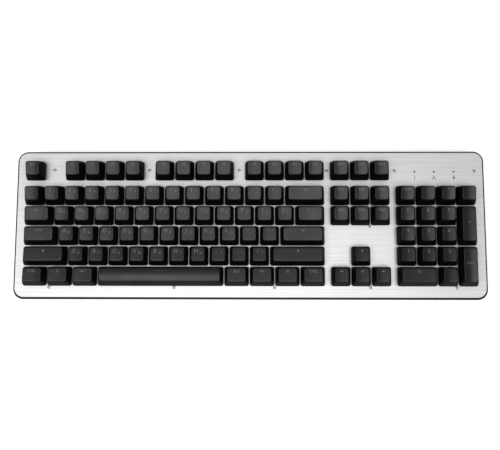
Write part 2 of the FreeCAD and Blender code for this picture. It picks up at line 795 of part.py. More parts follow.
wells = collection("wells", copies(well, foot_spots) + copies(pin_hole, foot_spots))
wells.Placement = LEVEL

# The rubber pads are let into the underside.
pad_reach = side_edge - size("pad_end_inset") - size("pad_length") / 2
pad_front_y = front_edge + DECK.Base.y + size("case_front_height") * math.sin(deck_radians)
pad_front_y += size("pad_edge_inset") + size("pad_width") / 2
pad_rear_y = rear_y - size("pad_edge_inset") - size("pad_width") / 2
pad = rounded("pad", centred_box("pad_block", "pad_length", "pad_width", "pad_stand + pad_seat"),
              size("pad_width") / 4)
front_pads = copies(pad, [(-pad_reach, pad_front_y, 0), (pad_reach, pad_front_y, 0)])
rear_pads = copies(pad, [(-pad_reach, pad_rear_y, 0), (pad_reach, pad_rear_y, 0)])
seats = collection("pad_seats", front_pads + rear_pads)
seats.Placement = LEVEL

socket_y = f"({PLATE_DEPTH} + rim_width - socket_depth)"
socket_slot = centred_box("socket_slot", "socket_width + 2 * socket_slot_clearance", "4 * case_wall",
                          "socket_height + 2 * socket_slot_clearance", "socket_offset",
                          f"{PLATE_DEPTH}", f"{UNDER_BOARD} - socket_height - socket_slot_clearance")
shell = cut("case_shell", cut("case_rebated", outside, rebate), hollow)
filled = fuse("case_filled", [shell, bosses, well_blocks])
level_cut = below_floor("case_underside", "0")
tools = fuse("case_tools", [level_cut, wells, seats, bores, socket_slot])
keep(cut("case", filled, tools), "bottom_case")


def usb_socket():
    """A flat metal socket under the board's rear edge: shell, back wall and tongue."""
    base = f"{UNDER_BOARD} - socket_height"
    body = centred_box("usb_body", "socket_width", "socket_depth", "socket_height", "socket_offset",
                       f"{socket_y} + socket_depth / 2", base)
    body = rounded_socket(body)
    mouth = centred_box("usb_mouth", "socket_width - 2 * socket_shell", "socket_depth",
                        "socket_height - 2 * socket_shell", "socket_offset",
                        f"{socket_y} + socket_depth / 2 + 2 * socket_shell", f"{base} + socket_shell")
    tongue = centred_box("usb_tongue", "socket_width - 6 * socket_shell", "socket_depth - 3 * socket_shell",
                         "socket_tongue", "socket_offset", f"{socket_y} + socket_depth / 2 - socket_shell",
                         f"{base} + socket_height / 2 - socket_tongue / 2")
    return fuse("usb", [cut("usb_shell", body, mouth), tongue])


def rounded_socket(body):
    """The socket's four long edges rounded."""
    doc.recompute()
    item = doc.addObject("Part::Fillet", "usb_rounded")
    item.Base = body
    radius = size("socket_shell") * 2
    edges = []
    for number, edge in enumerate(body.Shape.Edges, start=1):
        ends = [vertex.Point for vertex in edge.Vertexes]
        if abs(ends[0].y - ends[1].y) > 1e-6:
            edges.append((number, radius, radius))
    item.Edges = edges
    return item


keep(usb_socket(), "usb_socket")
DESK = FreeCAD.Placement()
keep(collection("front_pad_pair", front_pads), "front_rubber_pads", DESK)
keep(collection("rear_pad_pair", rear_pads), "rear_rubber_pads", DESK)


# ---------------------------------------------------------------------------------------------------
# The feet


def foot():
    """A flap that lies forward from its hinge line, with a pin at each end."""
    barrel = cylinder("foot_barrel", "foot_thickness", "foot_width", "-foot_width / 2", "0", AXIS_HEIGHT)
    reach = f"({WELL_WIDTH} + 2 * pin_length - 2 * pin_end_gap)"
    pins = cylinder("foot_pins", "pin_diameter", reach, f"-{reach} / 2", "0", AXIS_HEIGHT)
    for round_part in (barrel, pins):
        round_part.Placement.Rotation = FreeCAD.Rotation(Y_AXIS, 90.0)
    flap = centred_box("foot_flap", "foot_width", "foot_length", "foot_thickness", "0", "-foot_length / 2",
                       f"{AXIS_HEIGHT} - foot_thickness / 2")
    return fuse("foot", [barrel, pins, flap])


def foot_tip():
    """The rubber strip on the end of a foot."""
    return centred_box("tip", "foot_width - 2 * foot_tip_inset", "foot_tip", "foot_thickness", "0",
                       "-foot_length - foot_tip / 2", f"{AXIS_HEIGHT} - foot_thickness / 2")


foot_master = foot()
tip_master = foot_tip()
for side, spot in zip(("left", "right"), foot_spots):
    keep(collection(side + "_flap", copies(foot_master, [spot])), side + "_foot", DESK)
    keep(collection(side + "_tip", copies(tip_master, [spot])), side + "_foot_pad", DESK)


# ---------------------------------------------------------------------------------------------------
# Build, check and write

doc.recompute()
for item in doc.Objects:
    if any(word in item.State for word in ("Invalid", "Error")):
        raise RuntimeError(f"{item.Name} failed")
for item in nodes:
    if item.Shape.isNull() or not item.Shape.isValid():
        raise RuntimeError(f"{item.Label} is not a valid shape")

os.makedirs("parts", exist_ok=True)
for item in nodes:
    item.Shape.exportStep(f"parts/{item.Label}.step")
    bounds = item.Shape.BoundBox
    corner = f"{bounds.XMin:.1f} {bounds.YMin:.1f} {bounds.ZMin:.1f}"
    print(item.Label, len(item.Shape.Solids), round(item.Shape.Volume, 1), corner,
          f"{bounds.XMax:.1f} {bounds.YMax:.1f} {bounds.ZMax:.1f}")
print(len(nodes), "nodes")
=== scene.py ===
import json
import logging
import math
from dataclasses import dataclass, field
from enum import Enum
from typing import Iterable, Optional, Sequence, Union

import bmesh
import bpy
import numpy as np
from mathutils import Matrix, Vector


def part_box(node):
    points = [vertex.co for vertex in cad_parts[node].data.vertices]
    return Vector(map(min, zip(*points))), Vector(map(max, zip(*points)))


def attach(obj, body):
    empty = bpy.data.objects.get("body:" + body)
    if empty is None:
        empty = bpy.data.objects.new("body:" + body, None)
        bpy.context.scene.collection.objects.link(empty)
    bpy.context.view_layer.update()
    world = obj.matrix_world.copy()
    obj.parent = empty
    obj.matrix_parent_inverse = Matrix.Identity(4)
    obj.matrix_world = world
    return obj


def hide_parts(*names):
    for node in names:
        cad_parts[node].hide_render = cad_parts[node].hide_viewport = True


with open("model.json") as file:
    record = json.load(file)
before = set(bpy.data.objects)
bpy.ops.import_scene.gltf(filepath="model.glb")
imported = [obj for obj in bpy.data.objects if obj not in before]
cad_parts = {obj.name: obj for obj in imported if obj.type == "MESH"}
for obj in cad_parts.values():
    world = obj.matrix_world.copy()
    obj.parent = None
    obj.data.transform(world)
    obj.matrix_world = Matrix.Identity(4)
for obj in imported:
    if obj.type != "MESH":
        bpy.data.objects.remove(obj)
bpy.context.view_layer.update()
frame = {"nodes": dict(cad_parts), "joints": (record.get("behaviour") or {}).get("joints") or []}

LOG = logging.getLogger("keyboard")
MM = 0.001
BASE = "base"

Number = Union[int, float]
Operand = Union["Shade", int, float]
Colour = tuple[float, float, float]
Array = np.ndarray


# ----------------------------------------
# Shader expressions


class Shade:
    """A shader socket that plain Python arithmetic can be done on."""

    def __init__(self, recipe: "Recipe", socket: bpy.types.NodeSocket) -> None:
        """Keep the recipe that the socket belongs to, and the socket."""
        self.recipe = recipe
        self.socket = socket

    def maths(self, operation: str, *values: Operand) -> "Shade":
        """The result of a Math node with this operation and these inputs, in order."""
        return self.recipe.node("ShaderNodeMath", "Value", {"operation": operation}, dict(enumerate(values)))

    def __add__(self, other: Operand) -> "Shade":
        """Sum."""
        return self.maths("ADD", self, other)

    __radd__ = __add__

    def __mul__(self, other: Operand) -> "Shade":
        """Product."""
        return self.maths("MULTIPLY", self, other)

    __rmul__ = __mul__

    def __sub__(self, other: Operand) -> "Shade":
        """Difference."""
        return self.maths("SUBTRACT", self, other)

    def __rsub__(self, other: Operand) -> "Shade":
        """Difference, with the socket on the right."""
        return self.maths("SUBTRACT", other, self)

    def clipped(self, low: float, high: float) -> "Shade":
        """The value held between two limits."""
        return self.maths("MINIMUM", self.maths("MAXIMUM", self, low), high)

    def above(self, edge: float, softness: float) -> "Shade":
        """0 below an edge and 1 above it, with a straight ramp as wide as the softness between."""
        return ((self - edge) * (1.0 / softness) + 0.5).clipped(0.0, 1.0)


class Recipe:
    """A material under construction, with a Principled surface."""

    def __init__(self, name: str) -> None:
        """Start an empty material.

        Args:
            name: The material's name.
        """
        self.material = bpy.data.materials.new(name)
        self.material.use_nodes = True
        self.tree = self.material.node_tree
        self.tree.nodes.clear()
        self.surface = self.tree.nodes.new("ShaderNodeBsdfPrincipled")
        output = self.tree.nodes.new("ShaderNodeOutputMaterial")
        self.tree.links.new(self.surface.outputs["BSDF"], output.inputs["Surface"])
        self.place = self.node("ShaderNodeTexCoord", "Object", {}, {})

    def node(self, kind: str, result: str, settings: dict, inputs: dict) -> Shade:
        """Add any node.

        Args:
            kind: The node's type.
            result: The name of the output that is wanted.
            settings: Its own settings, set before its inputs; "stops" sets a colour ramp's two stops.
            inputs: Values or shades by input name or number.

        Returns:
            That output.
        """
        made = self.tree.nodes.new(kind)
        for name, value in settings.items():
            if name == "stops":
                self.fill_ramp(made, value)
            else:
                setattr(made, name, value)
        for name, value in inputs.items():
            self.feed(made.inputs[name], value)
        return Shade(self, made.outputs[result])

    @staticmethod
    def fill_ramp(made: bpy.types.Node, stops: Sequence[tuple[float, Colour]]) -> None:
        """Set a colour ramp's two stops.

        Args:
            made: The ramp node.
            stops: Positions and colours in order.
        """
        for element, (position, colour) in zip(made.color_ramp.elements, stops):
            element.position = position
            element.color = (*colour, 1.0)

    def feed(self, socket: bpy.types.NodeSocket, value: Union[Operand, Sequence[float]]) -> None:
        """Link a shade to a socket, or set a plain value on it.

        Args:
            socket: The input.
            value: What it gets.
        """
        if isinstance(value, Shade):
            self.tree.links.new(value.socket, socket)
        else:
            socket.default_value = value

    def set(self, **values: Union[Operand, Sequence[float]]) -> "Recipe":
        """Set surface inputs by name, with underscores for the spaces, and return this recipe."""
        for name, value in values.items():
            self.feed(self.surface.inputs[name.replace("_", " ")], value)
        return self

    def stretched(self, scale: Sequence[float]) -> Shade:
        """The object's own coordinates in metres, scaled along each axis."""
        return self.node("ShaderNodeMapping", "Vector", {}, {"Vector": self.place, "Scale": tuple(scale)})

    def noise(self, scale: Number, detail: float = 2.0, where: Optional[Shade] = None,
              roughness: float = 0.5) -> Shade:
        """Smooth noise from 0 to 1: scale is in features per metre, and detail in octaves."""
        inputs = {"Vector": where or self.place, "Scale": scale, "Detail": detail, "Roughness": roughness}
        return self.node("ShaderNodeTexNoise", "Fac", {"noise_dimensions": "3D"}, inputs)

    def mixed(self, mask: Shade, low: Colour, high: Colour) -> Shade:
        """The low colour where the mask is 0, the high one where it is 1, and mixed between."""
        return self.node("ShaderNodeValToRGB", "Color", {"stops": [(0.0, low), (1.0, high)]}, {"Fac": mask})

    def bumped(self, height: Shade, distance: float, strength: float) -> "Recipe":
        """Bump the surface by a height from 0 to 1 that stands for a distance in metres."""
        inputs = {"Height": height, "Distance": distance, "Strength": strength}
        return self.set(Normal=self.node("ShaderNodeBump", "Normal", {}, inputs))


# ----------------------------------------
# Finishes


@dataclass(frozen=True)
class MouldedPlastic:
    """Textured injection moulding: a fine spark-eroded grain with faint handling marks."""

    name: str
    colour: Colour
    worn: Colour
    roughness: float = 0.5
    grain: float = 2600.0
    grain_depth: float = 0.00004
    specular: float = 0.5

    def build(self) -> bpy.types.Material:
        """Return the material."""
        recipe = Recipe(self.name)
        grain = recipe.noise(self.grain, 2.0)
        handling = recipe.noise(55.0, 3.0)
        wear = handling.above(0.56, 0.22)
        recipe.set(Base_Color=recipe.mixed(wear * 0.8 + grain * 0.2, self.colour, self.worn))
        recipe.set(Roughness=(grain - 0.5) * 0.12 + self.roughness - wear * 0.06)
        recipe.set(Specular_IOR_Level=self.specular)
        return recipe.bumped(grain, self.grain_depth, 0.5).material


@dataclass(frozen=True)
class BrushedMetal:
    """Sheet brushed along X: long fine scratches under a thin film that dulls the metal."""

    name: str
    colour: Colour
    shade: Colour
    roughness: float = 0.5
    metallic: float = 0.5

    def build(self) -> bpy.types.Material:
        """Return the material."""
        recipe = Recipe(self.name)
        fine = recipe.noise(1.0, 3.0, recipe.stretched((30.0, 5200.0, 5200.0)), 0.7)
        broad = recipe.noise(1.0, 2.0, recipe.stretched((6.0, 900.0, 900.0)))
        cloud = recipe.noise(14.0, 2.0)
        streak = (fine * 0.6 + broad * 0.4).clipped(0.0, 1.0)
        recipe.set(Metallic=self.metallic)
        recipe.set(Base_Color=recipe.mixed(streak.above(0.47, 0.4), self.shade, self.colour))
        recipe.set(Roughness=(fine - 0.5) * 0.22 + (cloud - 0.5) * 0.06 + self.roughness)
        return recipe.bumped(streak, 0.00003, 0.55).material


@dataclass(frozen=True)
class SmallSteel:
    """Plated steel of screws, wires and sockets: slightly pitted, with a soft shine."""

    name: str
    colour: Colour = (0.62, 0.61, 0.59)
    roughness: float = 0.3

    def build(self) -> bpy.types.Material:
        """Return the material."""
        recipe = Recipe(self.name)
        pits = recipe.noise(3500.0, 3.0)
        stain = recipe.noise(400.0, 2.0)
        dull = tuple(channel * 0.82 for channel in self.colour)
        recipe.set(Metallic=1.0, Base_Color=recipe.mixed(stain.above(0.5, 0.4), dull, self.colour))
        recipe.set(Roughness=(pits - 0.5) * 0.2 + self.roughness)
        return recipe.bumped(pits, 0.00002, 0.5).material


@dataclass(frozen=True)
class SoftRubber:
    """Matt black rubber with a dusty bloom."""

    name: str

    def build(self) -> bpy.types.Material:
        """Return the material."""
        recipe = Recipe(self.name)
        dust = recipe.noise(300.0, 4.0)
        pores = recipe.noise(4200.0, 2.0)
        bloom = recipe.mixed(dust.above(0.55, 0.3), (0.022, 0.022, 0.022), (0.045, 0.044, 0.042))
        recipe.set(Base_Color=bloom)
        recipe.set(Roughness=(dust - 0.5) * 0.15 + 0.82)
        return recipe.bumped(pores, 0.00006, 0.5).material


@dataclass(frozen=True)
class BoardLaminate:
    """Circuit board under green solder mask, with the weave and tracks faintly raised."""

    name: str

    def build(self) -> bpy.types.Material:
        """Return the material."""
        recipe = Recipe(self.name)
        across = recipe.noise(1.0, 0.0, recipe.stretched((90.0, 1400.0, 90.0)))
        along = recipe.noise(1.0, 0.0, recipe.stretched((1400.0, 90.0, 90.0)))
        tracks = (across * 0.5 + along * 0.5).above(0.53, 0.02)
        recipe.set(Base_Color=recipe.mixed(tracks, (0.008, 0.07, 0.035), (0.015, 0.12, 0.06)))
        recipe.set(Roughness=0.32 + tracks * 0.08)
        return recipe.bumped(tracks, 0.00004, 0.6).material


@dataclass(frozen=True)
class PrintedInk:
    """Thin matt print with slightly uneven cover."""

    name: str
    colour: Colour

    def build(self) -> bpy.types.Material:
        """Return the material."""
        recipe = Recipe(self.name)
        cover = recipe.noise(5200.0, 2.0)
        faded = tuple(channel * 0.8 for channel in self.colour)
        recipe.set(Base_Color=recipe.mixed(cover.above(0.42, 0.3), faded, self.colour))
        recipe.set(Roughness=(cover - 0.5) * 0.1 + 0.55)
        return recipe.material


@dataclass(frozen=True)
class SmokyLens:
    """Dark clear moulding with a polished face."""

    name: str
    colour: Colour

    def build(self) -> bpy.types.Material:
        """Return the material."""
        recipe = Recipe(self.name)
        swirl = recipe.noise(900.0, 2.0)
        lighter = tuple(channel * 2.2 for channel in self.colour)
        recipe.set(Base_Color=recipe.mixed(swirl, self.colour, lighter), Coat_Weight=0.1, Coat_Roughness=0.08)
        recipe.set(Roughness=(swirl - 0.5) * 0.06 + 0.2, Specular_IOR_Level=0.1)
        return recipe.material


class Palette:
    """Every finish of the keyboard, built once."""

    def __init__(self) -> None:
        """Build the materials."""
        # The cap plastic comes in two copies: the top copy is lighter and shinier as painted light, the wall
        # copy darker and duller as painted shade.
        self.painted_lit_tops = MouldedPlastic("cap_top_painted_lit", (0.003, 0.003, 0.0031), (0.006, 0.006, 0.006), 0.37,
                                   specular=0.3).build()
        self.painted_shade_skirts = MouldedPlastic("cap_skirt_painted_shade", (0.002, 0.002, 0.0021), (0.003, 0.003, 0.0031),
                                     0.55, specular=0.08).build()
        self.case = MouldedPlastic("case_plastic", (0.006, 0.006, 0.0065), (0.009, 0.009, 0.0095), 0.5,
                                   grain=1800.0, specular=0.25).build()
        self.switch = MouldedPlastic("switch_plastic", (0.02, 0.02, 0.022), (0.03, 0.03, 0.032), 0.38).build()
        self.plunger = MouldedPlastic("plunger_plastic", (0.012, 0.05, 0.16), (0.02, 0.07, 0.2), 0.35).build()
        self.chip = MouldedPlastic("chip_plastic", (0.02, 0.02, 0.02), (0.03, 0.03, 0.03), 0.6).build()
        self.lamp = MouldedPlastic("lamp_chip_plastic", (0.75, 0.72, 0.6), (0.8, 0.78, 0.7), 0.4).build()
        self.plate = BrushedMetal("brushed_plate", (0.74, 0.735, 0.73), (0.5, 0.497, 0.493)).build()
        self.screw = SmallSteel("screw_steel", (0.42, 0.415, 0.4), 0.42).build()
        self.steel = SmallSteel("spring_steel").build()
        self.socket = SmallSteel("socket_steel", (0.66, 0.65, 0.62), 0.24).build()
        self.rubber = SoftRubber("foot_rubber").build()
        self.board = BoardLaminate("board_laminate").build()
        self.legend = PrintedInk("legend_ink", (0.12, 0.115, 0.15)).build()
        self.mark = PrintedInk("plate_mark_ink", (0.14, 0.14, 0.14)).build()
        self.lens = SmokyLens("lamp_lens", (0.004, 0.004, 0.005)).build()


# ----------------------------------------
# Meshes


@dataclass
class Mesh:
    """Points and faces under construction."""

    points: Array
    faces: list[tuple[int, ...]]

    @staticmethod
    def joined(meshes: Iterable["Mesh"]) -> "Mesh":
        """Put several meshes into one.

        Args:
            meshes: The meshes, in order.

        Returns:
            One mesh with all their points and faces.
        """
        points: list[Array] = []
        faces: list[tuple[int, ...]] = []
        start = 0
        for mesh in meshes:
            points.append(mesh.points)
            faces.extend(tuple(corner + start for corner in face) for face in mesh.faces)
            start += len(mesh.points)
        return Mesh(np.concatenate(points), faces)

    def moved(self, offset: Sequence[float]) -> "Mesh":
        """The same mesh somewhere else."""
        return Mesh(self.points + np.asarray(offset), self.faces)


def tube_of_rings(rings: Array) -> Mesh:
    """Join closed rings into a closed skin, with a point in the middle of the first and last ring.

    Args:
        rings: Ring, place round the ring, and x, y, z; each ring turns anticlockwise seen from above
            when the first ring is the lowest.

    Returns:
        The mesh: a quad between neighbours, and a fan at each end.
    """
    count, around, _ = rings.shape
    body = rings.reshape(-1, 3)
    poles = np.stack([rings[0].mean(axis=0), rings[-1].mean(axis=0)])
    ring = np.arange(count - 1)[:, None] * around
    here = np.arange(around)[None, :]
    after = np.roll(np.arange(around), -1)[None, :]
    quads = np.stack([ring + here, ring + after, ring + around + after, ring + around + here], axis=-1)
    first = count * around
    turn = np.arange(around)
    bottom = np.stack([np.roll(turn, -1), turn, np.full(around, first)], axis=-1)
    last = (count - 1) * around
    top = np.stack([last + turn, last + np.roll(turn, -1), np.full(around, first + 1)], axis=-1)
    faces = [tuple(face) for face in quads.reshape(-1, 4).tolist()]
    faces += [tuple(face) for face in np.concatenate([bottom, top]).tolist()]
    return Mesh(np.concatenate([body, poles]), faces)


def rounded_outline(half_width: float, front: float, rear: float, radius: float, corner: int = 5,
                    side: int = 4) -> Array:
    """A rectangle with rounded corners, anticlockwise, with even points on sides and corners.

    Each corner is a quarter circle about a point one radius in from both edges, and each side is a
    straight run between two corners.

    Args:
        half_width: Half the size along X.
        front: Its least Y.
        rear: Its greatest Y.
        radius: The corners' radius.
        corner: Steps round each corner.
        side: Steps along each side.

    Returns:
        Points as x, y.
    """
    radius = max(min(radius, half_width * 0.98, (rear - front) * 0.49), 1e-6)
    centres = np.array([
        [half_width - radius, front + radius],
        [half_width - radius, rear - radius],
        [radius - half_width, rear - radius],
        [radius - half_width, front + radius],
    ])
    starts = np.radians([-90.0, 0.0, 90.0, 180.0])
    sweep = np.linspace(0.0, math.pi / 2, corner + 1)
    angles = starts[:, None] + sweep[None, :]
    arcs = centres[:, None, :] + radius * np.stack([np.cos(angles), np.sin(angles)], axis=-1)
    share = np.linspace(0.0, 1.0, side + 1)[1:-1, None]
    following = np.roll(arcs[:, 0], -1, axis=0)
    runs = arcs[:, -1][:, None, :] * (1 - share) + following[:, None, :] * share
    return np.concatenate([arcs, runs], axis=1).reshape(-1, 2)


def raised(outline: Array, height: Union[float, Array]) -> Array:
    """Put an outline at a height, or at a height for each point."""
    heights = np.broadcast_to(np.asarray(height, dtype=float), outline.shape[:1])
    return np.concatenate([outline, heights[:, None]], axis=1)


def unit_circle(around: int) -> Array:
    """Points as x, y at equal angles round a circle of radius 1."""
    angles = np.linspace(0.0, 2 * math.pi, around, endpoint=False)
    return np.stack([np.cos(angles), np.sin(angles)], axis=-1)


def turned_profile(radii: Sequence[float], heights: Sequence[float], around: int = 24) -> Mesh:
    """A profile carried round a circle about Z: each point's radius turns through equal angles.

    Args:
        radii: The profile's radius at each step, from the lowest.
        heights: Its height at each step.
        around: Steps round the circle.

    Returns:
        The closed skin.
    """
    rings = np.asarray(radii)[:, None, None] * unit_circle(around)[None]
    levels = np.broadcast_to(np.asarray(heights)[:, None, None], rings.shape[:2] + (1,))
    return tube_of_rings(np.concatenate([rings, levels], axis=-1))


def make_piece(name: str, mesh: Mesh, material: bpy.types.Material,
               smooth_below: float = 35.0) -> bpy.types.Object:
    """Turn a mesh into an object in the scene.

    Args:
        name: The object's name.
        mesh: Its points, in metres in the frame, and faces.
        material: Its finish.
        smooth_below: Edges that turn less than this many degrees are shaded smooth.

    Returns:
        The object.
    """
    data = bpy.data.meshes.new(name)
    data.from_pydata(mesh.points.tolist(), [], mesh.faces)
    data.validate()
    data.materials.append(material)
    piece = bpy.data.objects.new(name, data)
    bpy.context.scene.collection.objects.link(piece)
    shade(piece, smooth_below)
    return piece


def shade(piece: bpy.types.Object, smooth_below: float) -> None:
    """Shade smooth with sharp edges above an angle in degrees."""
    piece.data.shade_smooth()
    piece.data.set_sharp_from_angle(angle=math.radians(smooth_below))


# ----------------------------------------
# The deck


@dataclass
class Deck:
    """The leaning frame of the keys: its origin is the middle of the plate's front edge, on top."""

    plate_thickness: float = 1.5 * MM
    front_margin: float = 10.2 * MM
    pitch: float = 19.05 * MM
    columns: float = 22.5
    lean: float = field(init=False)
    turn: Array = field(init=False)
    origin: Array = field(init=False)

    def __post_init__(self) -> None:
        """Read the lean from the space bar's travel, and the origin from the plate's box."""
        press = next(joint for joint in frame["joints"] if joint["name"] == "space_bar_press")
        _, across, down = press["axis"]
        self.lean = math.atan2(across, -down)
        cosine, sine = math.cos(self.lean), math.sin(self.lean)
        self.turn = np.array([[1.0, 0.0, 0.0], [0.0, cosine, sine], [0.0, -sine, cosine]])
        low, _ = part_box("top_plate")
        self.origin = np.array([0.0, low[1], low[2] + self.plate_thickness * cosine])

    def to_frame(self, points: Array) -> Array:
        """Deck points in the frame: turned about X by the lean, then moved to the origin."""
        return points @ self.turn + self.origin

    def spot(self, column: float, row: float, height: float = 0.0) -> Array:
        """A deck point from a column and a row in key units."""
        across = (column - self.columns / 2) * self.pitch
        return np.array([across, self.front_margin + row * self.pitch, height])

    def place(self, mesh: Mesh) -> Mesh:
        """A deck mesh in the frame."""
        return Mesh(self.to_frame(mesh.points), mesh.faces)


class Row(Enum):
    """A row of keys: its front edge in units, its caps' height in millimetres and lean in degrees."""

    FUNCTION = (5.25, 10.4, 10.0)
    NUMBER = (4.0, 10.4, 9.0)
    UPPER = (3.0, 8.9, 4.5)
    HOME = (2.0, 8.4, 0.0)
    LOWER = (1.0, 8.6, -5.0)
    BOTTOM = (0.0, 8.9, -6.0)

    @property
    def front(self) -> float:
        """The row's front edge in units."""
        return self.value[0]

    @property
    def height(self) -> float:
        """The height of the top over the cap's lower edge, in metres."""
        return self.value[1] * MM

    @property
    def lean(self) -> float:
        """The slope of the top: rise towards the rear."""
        return math.tan(math.radians(self.value[2]))


class Crown(Enum):
    """How a cap's top is shaped."""

    DISHED = "hollowed by a cylinder along the key"
    ARCHED = "arched by a cylinder along the space bar"


class Glyph(Enum):
    """Marks that aren't letters."""

    LEFT = "left"
    RIGHT = "right"
    UP = "up"
    DOWN = "down"
    RETURN = "return"
    SHIFT = "shift"
    BACK = "back"
    TAB = "tab"
    RING = "ring"
    LIST = "list"
    DASH = "dash"


Mark = Union[str, Glyph]


@dataclass(frozen=True)
class Legend:
    """One mark on a cap: what it is, its size in millimetres and where it is on the top.

    The place runs from -1 to 1 across and along the flat of the top.
    """

    mark: Mark
    size: float
    across: float
    along: float


@dataclass(frozen=True)
class KeyPlace:
    """One key: its row, first column, width and depth in units, and its legends."""

    row: Row
    column: float
    width: float
    legends: tuple[Legend, ...]
    depth: float = 1.0
    homing: bool = False


@dataclass(frozen=True)
class CapShape:
    """A hollow key cap, its lower edge on z = 0 and its middle over x = y = 0."""

    width: float
    depth: float
    height: float
    lean: float
    crown: Crown = Crown.DISHED
    side_taper: float = 2.8 * MM
    front_taper: float = 4.2 * MM
    rear_taper: float = 0.8 * MM
    base_corner: float = 2.1 * MM
    top_corner: float = 2.3 * MM
    edge: float = 0.6 * MM
    bulge: float = 0.25 * MM
    wall: float = 1.2 * MM
    roof: float = 1.6 * MM
    dish: float = 0.8 * MM
    arch_radius: float = 26.0 * MM
    chamfer: float = 0.12 * MM
    side_steps: int = 5

    @property
    def half_width(self) -> float:
        """Half the top's width."""
        return self.width / 2 - self.side_taper

    @property
    def front(self) -> float:
        """The top's front edge."""
        return -self.depth / 2 + self.front_taper

    @property
    def rear(self) -> float:
        """The top's rear edge."""
        return self.depth / 2 - self.rear_taper

    def top(self, x: Array, y: Array) -> Array:
        """The height of the top.

        A dished top is a leaning plane less a round hollow: the sagitta of a circle through both side
        edges.  An arched top falls away in front and behind by the square of y over the diameter.

        Args:
            x: Across the key.
            y: Along the key.

        Returns:
            The height at each point.
        """
        if self.crown is Crown.ARCHED:
            return self.height - y**2 / (2 * self.arch_radius) + 0.0 * x
        radius = (self.half_width**2 + self.dish**2) / (2 * self.dish)
        inside = np.clip(np.abs(x), 0.0, self.half_width)
        hollow = np.sqrt(radius**2 - inside**2) - (radius - self.dish)
        return self.height + self.lean * y - hollow

    def outline(self, share: float, inset: float = 0.0) -> Array:
        """The cap's outline part of the way up, swollen by half a sine wave over the height.

        Args:
            share: 0 at the lower edge, 1 at the top edge.
            inset: How far inside the outer wall.

        Returns:
            Points as x, y.
        """
        swell = self.bulge * math.sin(math.pi * min(share, 1.0))
        corner = self.base_corner + (self.top_corner - self.base_corner) * share - inset * 0.6
        return rounded_outline(
            self.width / 2 - self.side_taper * share - inset + swell,
            -self.depth / 2 + self.front_taper * share + inset - swell,
            self.depth / 2 - self.rear_taper * share - inset + swell,
            corner,
            side=self.side_steps,
        )

    def build(self) -> Mesh:
        """Return the closed skin: ceiling, inner wall, lower edge, outer wall, rolled edge and top."""
        rim = self.outline(1.0)
        level = self.top(rim[:, 0], rim[:, 1])
        ceiling = self.height - self.dish - self.roof - abs(self.lean) * self.depth / 3
        middle = np.array([0.0, (self.front + self.rear) / 2])
        vault = self.outline(ceiling / self.height, self.wall)
        rings = [
            raised(middle + (vault - middle) * 0.5, ceiling),
            raised(vault, ceiling),
            raised(self.outline(0.0, self.wall), 0.0),
            raised(self.outline(0.0, self.chamfer), 0.0),
            raised(self.outline(0.0), self.chamfer),
        ]
        for share in (0.3, 0.6, 0.85):
            rings.append(raised(self.outline(share), level * share - self.edge * share * 0.5))
        for angle in np.radians([0.0, 22.5, 45.0, 67.5, 90.0]):
            inset = self.edge * (1 - math.cos(angle))
            drop = self.edge * (1 - math.sin(angle))
            ring = self.outline(1.0, inset)
            rings.append(raised(ring, self.top(ring[:, 0], ring[:, 1]) - drop))
        flat = self.outline(1.0, self.edge)
        for share in (0.84, 0.66, 0.46, 0.24, 0.08):
            ring = middle + (flat - middle) * share
            rings.append(raised(ring, self.top(ring[:, 0], ring[:, 1])))
        return tube_of_rings(np.stack(rings))


# ----------------------------------------
# The plungers under the caps


@dataclass(frozen=True)
class Plunger:
    """A switch's or stabilizer's plunger: shoulder, neck and the cross that the cap sits on."""

    shoulder: tuple[float, float] = (7.8 * MM, 6.4 * MM)
    neck: tuple[float, float] = (7.2 * MM, 5.6 * MM)
    bottom: float = 0.6 * MM
    shoulder_top: float = 5.2 * MM
    neck_top: float = 6.6 * MM
    cross_top: float = 10.2 * MM
    span: float = 4.0 * MM
    blade: float = 1.1 * MM
    softening: float = 0.3 * MM
    tip_draw: float = 0.05 * MM

    def build(self) -> Mesh:
        """Return the stepped block and its cross."""
        soft = self.softening
        steps = [
            (self.shoulder, soft, self.bottom),
            (self.shoulder, 0.0, self.bottom + soft),
            (self.shoulder, 0.0, self.shoulder_top),
            (self.neck, 0.0, self.shoulder_top),
            (self.neck, 0.0, self.neck_top - soft / 2),
            (self.neck, soft / 2, self.neck_top),
        ]
        rings = []
        for (width, depth), inset, level in steps:
            outline = rounded_outline(width / 2 - inset, inset - depth / 2, depth / 2 - inset, 2 * soft, 1, 1)
            rings.append(raised(outline, level))
        return Mesh.joined([tube_of_rings(np.stack(rings)), self.cross()])

    def cross(self) -> Mesh:
        """Return the cross: an outline of twelve corners carried upwards, drawn in at its tip."""
        arm, half = self.span / 2, self.blade / 2
        corner = np.array([[arm, -half], [arm, half], [half, half]])
        quarter = np.array([[0.0, 1.0], [-1.0, 0.0]])
        corners = [corner]
        for _ in range(3):
            corners.append(corners[-1] @ quarter)
        outline = np.concatenate(corners)
        tip = outline * (1 - self.tip_draw / half)
        levels = [(outline, self.neck_top), (outline, self.cross_top - self.softening), (tip, self.cross_top)]
        return tube_of_rings(np.stack([raised(ring, level) for ring, level in levels]))


STEM = Plunger(shoulder=(4.4 * MM, 5.0 * MM), neck=(4.4 * MM, 5.0 * MM), bottom=0.4 * MM)


# ----------------------------------------
# Legends


